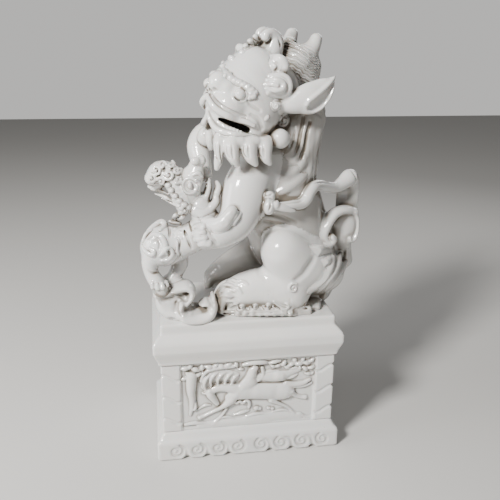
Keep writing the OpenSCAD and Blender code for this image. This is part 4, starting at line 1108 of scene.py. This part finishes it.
# Corner posts with wavy grooves: each falls across a face as [part of the width, height].
GROOVE = [[0, 3.4], [0.2, 3], [0.45, 0.6], [0.7, -2.6], [0.85, -3.4], [1, -2.6]]
GROOVE_R, GROOVE_OUT = 1.25, 0.1           # radius of a groove, and its middle's distance outside the face
GROOVES_AT = (BODY_TOP - 14, BODY_TOP - 37, BODY_TOP - 60)
for node, sx, sy in (("front_left_post", -1, -1), ("front_right_post", 1, -1), ("back_left_post", -1, 1),
                     ("back_right_post", 1, 1)):
    post = plinth_clay(node, 0.7)
    x0, x1 = sorted((sx * BODY_HALF[0], sx * (BODY_HALF[0] - POST_W)))
    y0, y1 = sorted((sy * BODY_HALF[1], sy * (BODY_HALF[1] - POST_W)))
    post.block([x0, y0, BODY_LOW], [x1, y1, BODY_TOP], 1.4)
    post.block([-INNER[0], -INNER[1], 0], [INNER[0], INNER[1], DECK], 0.5, 0, True)
    for z in GROOVES_AT:
        post.stroke([[sx * (BODY_HALF[0] - POST_W * t), sy * (BODY_HALF[1] + GROOVE_OUT), z + d, GROOVE_R]
                     for t, d in GROOVE], 1.6, True)
        post.stroke([[sx * (BODY_HALF[0] + GROOVE_OUT), sy * (BODY_HALF[1] - POST_W * t), z + d, GROOVE_R]
                     for t, d in GROOVE], 1.6, True)

# Cornice with its deck.
cornice = plinth_clay("plinth_cornice", 1.0)
profile = [[4.2, 0], [3.6, 4], [2.2, 8], [0.6, 12], [-0.4, 15], [-0.4, 22.5], [0.8, 25], [4, 28.5],
           [6.4, 31], [7, 32.5]]
cornice.moulding(FOOT_HALF, [[inset, BODY_TOP + rise] for inset, rise in profile] + [[7, DECK]], 2.0)
cornice.block([-INNER[0], -INNER[1], 0], [INNER[0], INNER[1], DECK - WALL], 1, 1, True)


# ---------------------------------------------------------------- reliefs

MOST_RELIEF = 5.0                   # no stroke of a relief stands out further than this, in mm


class Relief:
    """Low relief on the face of the plinth at right angles to x (axis 0) or y (axis 1)."""

    def __init__(self, node, axis, face, depth=1.0):
        self.clay = plinth_clay(node, 0.5, 3.0)
        self.axis, self.face, self.depth = axis, face, depth

    def stroke(self, stations, height=0.75, soft=1.0, cut=False):
        """Stations [along the face, z, radius]; the roll stands out by height times its radius."""
        out = []
        for x, z, r in stations:
            h = min(r * height * self.depth, MOST_RELIEF)
            p = [x, self.face, z] if self.axis else [self.face, x, z]
            out.append(p + [r, h])
        deep = (0, 1, 0) if self.axis else (1, 0, 0)
        self.clay.stroke(out, soft, cut, deep)

    def strokes(self, *groups):
        """Strokes in order, in groups (height, soft, stations, stations...)."""
        for height, soft, *runs in groups:
            for run in runs:
                self.stroke(run, height, soft)


relief = Relief("front_relief", 1, PANEL_Y, 1.35)
# Tree on the left with its curled root, and a bough along the top.
relief.strokes(
    (0.8, 1.0, [[-54.5, 86, 5.4], [-55, 79, 5.2], [-55.4, 70, 4.4], [-54.4, 61, 3.4], [-54.8, 53, 2.6],
                [-56.5, 44, 1.4]]),
    (1.6, 0.4, [[-51.5, 57, 1.2], [-51.6, 52, 1.6], [-53.6, 50.4, 1.5], [-54.6, 52.6, 1.3]]),
    (1.0, 0.6, [[-46, 80, 1.6], [-43.6, 86.5, 2], [-38.6, 91, 2.2], [-27.5, 93.2, 2.2], [-15, 93.6, 2]]))
# Leaves [x, z, radius], each a short roll at a turn of its own.
LEAVES = [(-60.5, 95, 3.4), (-55.5, 97, 3.2), (-50.8, 93, 3.4), (-48.3, 87.4, 3.0), (-57, 88, 3.4),
          (-61.6, 84, 2.6), (-44.6, 94.6, 3.2), (-38, 94.6, 3.2), (-32, 95.5, 3), (-26, 94.5, 3),
          (-19.8, 95.6, 3), (-12.4, 95.3, 3), (-8, 90, 2.2), (33.4, 93, 3.2), (37, 88.6, 2.8),
          (40.8, 91.5, 3), (44, 96, 2.8), (48.3, 91.7, 3.2), (52, 96, 2.8), (55.7, 92, 3), (61, 94.5, 2.8),
          (54.5, 86, 3), (60.7, 86.6, 2.8), (49.4, 86.6, 2.4), (58.2, 80, 2.6), (62, 80, 2), (23, 90.6, 2.4),
          (28, 91, 2.6)]
for i, (x, z, r) in enumerate(LEAVES):
    dx, dz = r * math.cos(1.3 * i), r * 0.6 * math.sin(1.3 * i)
    relief.stroke([[x - dx, z - dz, r * 0.55], [x, z, r * 0.8], [x + dx, z + dz, r * 0.5]], 1.0, 0.5)
relief.strokes(
    # Mane: a waving mass over the neck with its locks.
    (0.26, 1.0, [[-42, 74, 3.4], [-40, 81, 4.6], [-33, 84.5, 5.6], [-24, 84.5, 5.6], [-15, 82, 5]]),
    (1.4, 0.8, [[-41.5, 70, 1.4], [-43, 77, 2.2], [-41, 83, 2.2], [-36.5, 87, 1.2]],
     [[-36.5, 75, 1.4], [-37, 81, 2.2], [-34, 85.6, 2], [-30, 88, 1]],
     [[-30, 76.6, 1.4], [-30, 81.5, 2.2], [-27, 85.6, 2], [-23, 87.6, 1]],
     [[-23, 76.5, 1.4], [-22.6, 81, 2.2], [-19.6, 84.6, 2], [-16, 86.4, 1]],
     [[-16.5, 75.6, 1.4], [-16, 79.6, 2], [-13.5, 82.6, 1.8], [-10.5, 83.8, 1]]),
    # Horse: barrel and rump, shoulder, arched neck, head, ear.
    (0.5, 1.5, [[-5, 65.5, 8.5], [7, 65, 9], [20, 64, 9.4], [31, 62.8, 9.8], [36, 62.6, 8.6]]),
    (0.8, 3.0, [[33, 64.5, 6.5], [35.5, 64, 6.5]]),
    (0.78, 3.0, [[8, 65, 6], [20, 64.5, 6.4]]),
    (0.55, 1.5, [[-5, 66, 8], [-13, 63.5, 7], [-18, 60, 5.5]]),
    (0.68, 0.8, [[-9, 67, 6.5], [-16, 70, 5.6], [-23, 71.6, 4.8], [-30, 71.4, 4.2], [-36, 69, 3.8]]),
    (0.9, 0.8, [[-38, 68.5, 3.8], [-37, 64.8, 4.2], [-33.6, 59, 3.4], [-31, 55, 2.7]]),
    (1.5, 0.4, [[-41, 67, 1.6], [-44.4, 66.6, 0.9]]))
relief.stroke([[-38, 65.4, 0.7], [-37.4, 64.8, 0.7]], 3.2, 0.4, True)                # eye
relief.strokes(
    # Legs at full gallop, and the tail.
    (0.95, 0.8, [[-17, 58, 5.2], [-22, 53.6, 3.6], [-29, 49, 2.4], [-37, 45, 1.9], [-44, 41.6, 1.9],
                 [-47.5, 40.6, 2.4]]),
    (0.95, 0.6, [[-22, 48, 1.8], [-26, 41, 1.3], [-34.5, 32, 1.2]]),
    (0.8, 0.8, [[36, 61, 6], [41.5, 60.5, 3.6], [46.5, 56.4, 2.2], [52, 54, 1.9], [56, 53.6, 2.4]]),
    (1.2, 0.6, [[41.2, 62.8, 3], [41.8, 62.6, 3]]),
    (0.9, 0.8, [[22, 53.5, 3], [32, 48, 1.8], [39.6, 43, 1.2], [45.5, 36.4, 1.1]],
     [[36, 71.5, 3], [44, 69.6, 3], [53, 70, 2.6], [59.5, 73.2, 1.8]]),
    (0.9, 0.5, [[44, 66.4, 1.6], [54, 66.6, 1.8], [61.5, 69, 1.2]]),
    # Rider's flying cloak and its folds.
    (0.5, 0.8, [[10, 80, 4], [20, 79.5, 5.4], [31, 79.5, 5.8], [39, 82, 4], [47, 84, 2.4]]),
    (0.95, 2.0, [[28, 80.5, 4.6], [31, 80, 4.6]]),
    (0.95, 0.6, [[34, 75.6, 1.2], [42, 77.6, 1.8], [47, 79.6, 1]],
     [[40, 86, 1.2], [46, 87.4, 1.8], [50, 83.6, 1]], [[14, 84.5, 1], [21, 85.6, 1.6], [28, 85.4, 1]]),
    # Rider: body and leg, hip, head, arm, and a flat hat.
    (0.92, 1.2, [[3.5, 88, 4.6], [1, 80, 5.2], [-4.5, 73, 5.4], [-11, 66, 4.6], [-15.5, 60, 3.6]]),
    (0.75, 1.5, [[2, 76, 6], [-1, 73, 6]]),
    (0.95, 0.6, [[5, 91, 3.2], [6, 90.6, 3.2]]),
    (1.1, 0.6, [[12.5, 90, 2], [13.4, 83.5, 2.2], [10.5, 78, 2], [6, 76, 1.8]]),
    (1.1, 0.5, [[-5.5, 94.6, 1.8], [0, 96, 2.6], [7, 96.6, 3], [13, 96, 2.6], [17, 95, 1.6]],
     [[20, 94.4, 1.6], [25, 95.6, 2.2], [30, 96, 1.4]],
     # Frilled saddle cloth.
     [[-15, 56.6, 1.6], [-12, 53.6, 1.9], [-9, 55.2, 1.6], [-6, 53, 1.9], [-3, 55.4, 1.6], [0, 54, 1.9],
      [0.8, 50, 1.6], [0, 47.4, 1.2]]))
# Rocks and the rolling ground.
for x, z, r in [(7.4, 46, 2.4), (10.6, 45, 1.9), (19.8, 44.8, 1.6), (23.5, 43.8, 1.5)]:
    relief.stroke([[x - 0.5, z, r], [x + 0.5, z, r]], 0.9, 0.5)
relief.strokes(
    (0.25, 1.5, [[-2, 32, 5], [16, 34, 5], [34, 34, 5], [50, 32, 4]]),
    (0.35, 1.5, [[-48, 31, 3], [-30, 31.5, 4], [-10, 32, 4], [20, 30, 3]]),
    (0.8, 0.6, [[-62, 33.5, 1.4], [-52, 34.6, 2], [-42, 33.6, 1.2]],
     [[-50, 49, 1], [-42, 53.4, 1.6], [-37, 53, 1]], [[-14, 40, 1.2], [-6, 42.4, 2], [0, 44, 1.2]],
     [[-2, 37, 1.2], [8, 39.6, 1.8], [18, 38, 1]], [[24, 40, 1], [34, 41.6, 1.6], [42, 38, 1]],
     [[45, 34, 1], [51, 35, 1.5], [56, 31.6, 1.3], [63, 30.4, 0.9]],
     [[-30, 37, 1], [-22, 38.6, 1.5], [-14, 35.6, 1]]))

# Back: a branch in blossom that grows from a rock.
back = Relief("back_relief", 1, -PANEL_Y)
back.strokes(
    (0.4, 1.5, [[56, 31, 4], [44, 38, 7], [30, 42, 8], [22, 36, 6], [8, 31, 3]]),
    (0.9, 1.0, [[40, 44, 4], [32, 58, 3.2], [18, 70, 2.8], [4, 76, 2.4], [-20, 80, 2], [-46, 88, 1.4]],
     [[12, 72, 2.4], [4, 84, 2], [-10, 92, 1.3]], [[30, 60, 2.4], [40, 72, 1.8], [52, 80, 1.2]]))
for x, z in [(24, 68), (-6, 78), (-32, 84), (-46, 88), (-2, 88), (50, 80), (40, 70)]:
    for k in range(5):
        a = 2 * math.pi * k / 5
        back.stroke([[x, z, 1.2], [x + 3.2 * math.cos(a), z + 3.2 * math.sin(a), 2.0]], 0.8, 0.4)
    back.stroke([[x - 0.2, z, 1.3], [x + 0.2, z, 1.3]], 1.8, 0.4)
back.strokes((0.6, 1.2, [[-60, 32, 2.4], [-30, 33, 3], [0, 32, 2.4]],
              [[36, 34, 1], [44, 46, 1.6], [40, 52, 1]]))

# Ends: a spray of leaves.
for node, side, face in (("left_relief", -1, PANEL_X), ("right_relief", 1, -PANEL_X)):
    spray = Relief(node, 0, face)
    for s in [[[-26, 33, 3], [-12, 44, 3], [-4, 62, 2.5], [10, 80, 2], [24, 88, 1.4]],
              [[-4, 62, 1.6], [-18, 74, 4.2], [-27, 78, 1.2]], [[0, 68, 1.6], [16, 64, 4.2], [27, 60, 1.2]],
              [[6, 76, 1.6], [-3, 86, 3.8], [-9, 93, 1]], [[-12, 46, 1.6], [4, 46, 4.2], [16, 40, 1.2]],
              [[-16, 40, 1.6], [-25, 52, 3.8], [-28, 60, 1]]]:
        spray.stroke([[-x * side, z, r] for x, z, r in s], 0.8, 0.8)


# ---------------------------------------------------------------- luting, firing, glaze

# Each piece is luted on to those that carry it: (piece, softness of the joint in mm, carriers).
JOINTS = [("plinth_front_panel", 4, ["front_left_post", "front_right_post"]),
          ("plinth_back_panel", 4, ["back_left_post", "back_right_post"]),
          ("plinth_left_panel", 4, ["front_left_post", "back_left_post"]),
          ("plinth_right_panel", 4, ["front_right_post", "back_right_post"]),
          ("front_relief", 0.8, ["plinth_front_panel"]),
          ("back_relief", 0.8, ["plinth_back_panel"]),
          ("left_relief", 0.8, ["plinth_left_panel"]),
          ("right_relief", 0.8, ["plinth_right_panel"]),
          ("lion_head", 3, ["lion_torso"]),
          ("lion_left_foreleg", 6, ["lion_torso"]),
          ("lion_right_foreleg", 5, ["lion_torso", "lion_head"]),
          ("lion_left_hind_leg", 6, ["lion_torso"]),
          ("lion_right_hind_leg", 5, ["lion_torso"]),
          ("lion_hair_cap", 1.5, ["lion_head", "lion_torso"]),
          ("lion_left_temple_curls", 2, ["lion_head", "lion_hair_cap"]),
          ("lion_right_temple_curls", 2, ["lion_head", "lion_hair_cap", "lion_left_temple_curls"]),
          ("lion_left_ear", 4, ["lion_head", "lion_left_temple_curls"]),
          ("lion_right_ear", 4, ["lion_head", "lion_right_temple_curls"]),
          ("lion_brow_curls", 1.2, ["lion_head"]),
          ("lion_mane", 3, ["lion_torso", "lion_head", "lion_hair_cap"]),
          ("lion_beard", 1.5, ["lion_head", "lion_torso", "lion_left_foreleg"]),
          ("lion_tail", 4, ["lion_torso", "lion_left_hind_leg", "lion_right_hind_leg"]),
          ("heel_rock", 2, ["lion_torso", "lion_left_hind_leg", "lion_right_hind_leg", "lion_tail"]),
          ("sash_ribbon", 2, ["lion_torso", "lion_tail", "lion_mane"]),
          ("sash_knot", 1.5, ["lion_torso", "sash_ribbon", "lion_left_foreleg"]),
          ("cub_body", 2, ["lion_left_foreleg"]),
          ("cub_head", 1.5, ["cub_body", "lion_right_foreleg"]),
          ("cub_mane", 1.5, ["cub_head", "cub_body"]),
          ("cub_foreleg", 2, ["cub_body", "lion_left_foreleg"]),
          ("cub_left_hind_leg", 3, ["cub_body", "cloud_base"]),
          ("cub_right_hind_leg", 3, ["cub_body", "cloud_base"])]
raw = {node: copy.copy(clay) for node, clay in clays.items()}
for node, softness, carriers in JOINTS:
    clays[node].field = raw[node].settled([raw[c] for c in carriers], softness)


# Colours of the glaze: three whites, the pooled glaze and painted shade of the hollows, the painted shadow
# inside the mouth, and the specks.
WHITE, WARM_WHITE, COOL_WHITE = (0.78, 0.765, 0.735, 1), (0.73, 0.72, 0.70, 1), (0.70, 0.70, 0.695, 1)
POOL_AND_SHADE, MOUTH_SHADOW, SPECK = (0.21, 0.18, 0.145, 1), (0.02, 0.017, 0.014, 1), (0.33, 0.28, 0.23, 1)


def glaze_material():
    """White glaze, faintly mottled, darker and warmer where it pools in the hollows and with painted shade
    there, a painted shadow inside the mouth, and specks of dirt.
    """
    mat = bpy.data.materials.new("white_glaze")
    mat.use_nodes = True
    tree = mat.node_tree
    tree.nodes.clear()
    new, link = tree.nodes.new, tree.links.new
    out = new("ShaderNodeOutputMaterial")
    bsdf = new("ShaderNodeBsdfPrincipled")
    link(bsdf.outputs["BSDF"], out.inputs["Surface"])
    where = new("ShaderNodeTexCoord")

    def noise(scale, detail=3.0, rough=0.5):
        n = new("ShaderNodeTexNoise")
        n.inputs["Scale"].default_value = scale
        n.inputs["Detail"].default_value = detail
        n.inputs["Roughness"].default_value = rough
        link(where.outputs["Object"], n.inputs["Vector"])
        return n.outputs["Fac"]

    def spread(value, low, high, to_low, to_high):
        n = new("ShaderNodeMapRange")
        n.inputs["From Min"].default_value = low
        n.inputs["From Max"].default_value = high
        n.inputs["To Min"].default_value = to_low
        n.inputs["To Max"].default_value = to_high
        link(value, n.inputs["Value"])
        return n.outputs["Result"]

    def mix(factor, a, b):
        n = new("ShaderNodeMix")
        n.data_type = "RGBA"
        link(factor, n.inputs["Factor"])
        for socket, value in ((n.inputs[6], a), (n.inputs[7], b)):
            if isinstance(value, tuple):
                socket.default_value = value
            else:
                link(value, socket)
        return n.outputs[2]

    body = mix(spread(noise(28.0), 0.3, 0.7, 0, 1), WHITE, WARM_WHITE)
    cool = mix(spread(noise(9.0, 2.0), 0.35, 0.75, 0, 1), body, COOL_WHITE)
    pool_and_shade = new("ShaderNodeAttribute")
    pool_and_shade.attribute_name = "pool_and_shade"
    # Darker and warmer where glaze pools in hollows, mixed with painted shade there and on shaded pieces.
    pooled_and_shaded = mix(spread(pool_and_shade.outputs["Fac"], 0.12, 0.9, 0, 1), cool, POOL_AND_SHADE)
    # Near black as a painted shadow inside the mouth.
    pooled_and_shaded = mix(spread(pool_and_shade.outputs["Fac"], 1.0, 1.8, 0, 1), pooled_and_shaded, MOUTH_SHADOW)
    specks = new("ShaderNodeTexVoronoi")
    specks.inputs["Scale"].default_value = 90.0
    link(where.outputs["Object"], specks.inputs["Vector"])
    speckled = mix(spread(specks.outputs["Distance"], 0.02, 0.05, 0.55, 0), pooled_and_shaded, SPECK)
    link(speckled, bsdf.inputs["Base Color"])
    link(spread(noise(60.0, 4.0), 0.3, 0.7, 0.10, 0.22), bsdf.inputs["Roughness"])
    bsdf.inputs["IOR"].default_value = 1.5
    bsdf.inputs["Coat Weight"].default_value = 0.6
    bsdf.inputs["Coat Roughness"].default_value = 0.06
    bsdf.inputs["Subsurface Weight"].default_value = 0.08
    bsdf.inputs["Subsurface Scale"].default_value = 0.002
    bump = new("ShaderNodeBump")
    bump.inputs["Strength"].default_value = 0.25
    bump.inputs["Distance"].default_value = 0.0006
    link(noise(120.0, 3.0, 0.6), bump.inputs["Height"])
    link(bump.outputs["Normal"], bsdf.inputs["Normal"])
    link(bump.outputs["Normal"], bsdf.inputs["Coat Normal"])
    return mat


glaze = glaze_material()


def slot_of(node):
    """Name of a material slot for a piece: reliefs, cub, plinth or lioness; nothing uses it, and every piece
    takes the one glaze.
    """
    if node.endswith("_relief"):
        return "relief_glaze"
    if node.startswith("cub") or node == "cloud_base":
        return "cub_glaze"
    if node.startswith("plinth") or node.endswith("_post"):
        return "plinth_glaze"
    return "lion_glaze"


fire(clays, slot_of)

# ---------------------------------------------------------------- stage

FLOOR = 3.0                         # half the floor's width, in metres
floor_mesh = bpy.data.meshes.new("floor")
floor_mesh.from_pydata([(-FLOOR, -FLOOR, 0), (FLOOR, -FLOOR, 0), (FLOOR, FLOOR, 0), (-FLOOR, FLOOR, 0)], [],
                       [(0, 1, 2, 3)])
floor = bpy.data.objects.new("floor", floor_mesh)
bpy.context.collection.objects.link(floor)
floor_mat = bpy.data.materials.new("pale_floor")
floor_mat.use_nodes = True
shade = floor_mat.node_tree.nodes["Principled BSDF"]
shade.inputs["Roughness"].default_value = 0.7
grain = floor_mat.node_tree.nodes.new("ShaderNodeTexNoise")
grain.inputs["Scale"].default_value = 6.0
tint = floor_mat.node_tree.nodes.new("ShaderNodeMix")
tint.data_type = "RGBA"
tint.inputs[6].default_value = (0.58, 0.57, 0.55, 1)
tint.inputs[7].default_value = (0.62, 0.61, 0.59, 1)
floor_mat.node_tree.links.new(grain.outputs["Fac"], tint.inputs["Factor"])
floor_mat.node_tree.links.new(tint.outputs[2], shade.inputs["Base Color"])
floor_mesh.materials.append(floor_mat)


def lamp(name, at, aim, size, power, tint=(1, 1, 1)):
    """A round soft lamp: places and size in metres, power in watts."""
    data = bpy.data.lights.new(name, "AREA")
    data.shape = "DISK"
    data.size = size
    data.energy = power
    data.color = tint
    ob = bpy.data.objects.new(name, data)
    ob.location = at
    ob.rotation_euler = (Vector(aim) - Vector(at)).to_track_quat("-Z", "Y").to_euler()
    bpy.context.collection.objects.link(ob)


lamp("key", (-0.85, -0.8, 1.05), (0, 0, 0.22), 0.3, 42, (1, 0.985, 0.955))
lamp("window", (-1.1, -0.15, 0.55), (0, 0, 0.22), 0.5, 5, (0.97, 0.98, 1))
lamp("rim", (0.6, 0.8, 0.8), (0, 0, 0.25), 0.5, 2)
# The backdrop is paler to the camera than the light that it gives.
SKY_LIGHT, SKY_SEEN = 0.22, 0.75
world = bpy.data.worlds.new("studio")
world.use_nodes = True
sky = world.node_tree
sky.nodes["Background"].inputs["Color"].default_value = (0.80, 0.79, 0.77, 1)
seen = sky.nodes.new("ShaderNodeLightPath")
strength = sky.nodes.new("ShaderNodeMapRange")
strength.inputs["To Min"].default_value = SKY_LIGHT
strength.inputs["To Max"].default_value = SKY_SEEN
sky.links.new(seen.outputs["Is Camera Ray"], strength.inputs["Value"])
sky.links.new(strength.outputs["Result"], sky.nodes["Background"].inputs["Strength"])
bpy.context.scene.world = world

# Camera: from the front, a little to the left, looking down. Angles in radians, lens and sensor in mm.
YAW, PITCH, ROLL = 0.158815, 0.322118, 0.00895
LENS, SENSOR = 43.2, 36.0
ahead = Vector((math.sin(YAW) * math.cos(PITCH), math.cos(YAW) * math.cos(PITCH), -math.sin(PITCH)))
level = Vector((math.cos(YAW), -math.sin(YAW), 0))
upward = level.cross(ahead)
across = level * math.cos(ROLL) + upward * math.sin(ROLL)
upright = upward * math.cos(ROLL) - level * math.sin(ROLL)
camera = bpy.data.objects.new("camera", bpy.data.cameras.new("camera"))
camera.data.sensor_width = SENSOR
camera.data.lens = LENS
camera.data.clip_start = 0.01
camera.matrix_world = Matrix.Translation(Vector(EYE) * MM + Vector((0, 0, DECK * MM))) @ Matrix(
    (across, upright, -ahead)).transposed().to_4x4()
bpy.context.collection.objects.link(camera)
bpy.context.scene.camera = camera
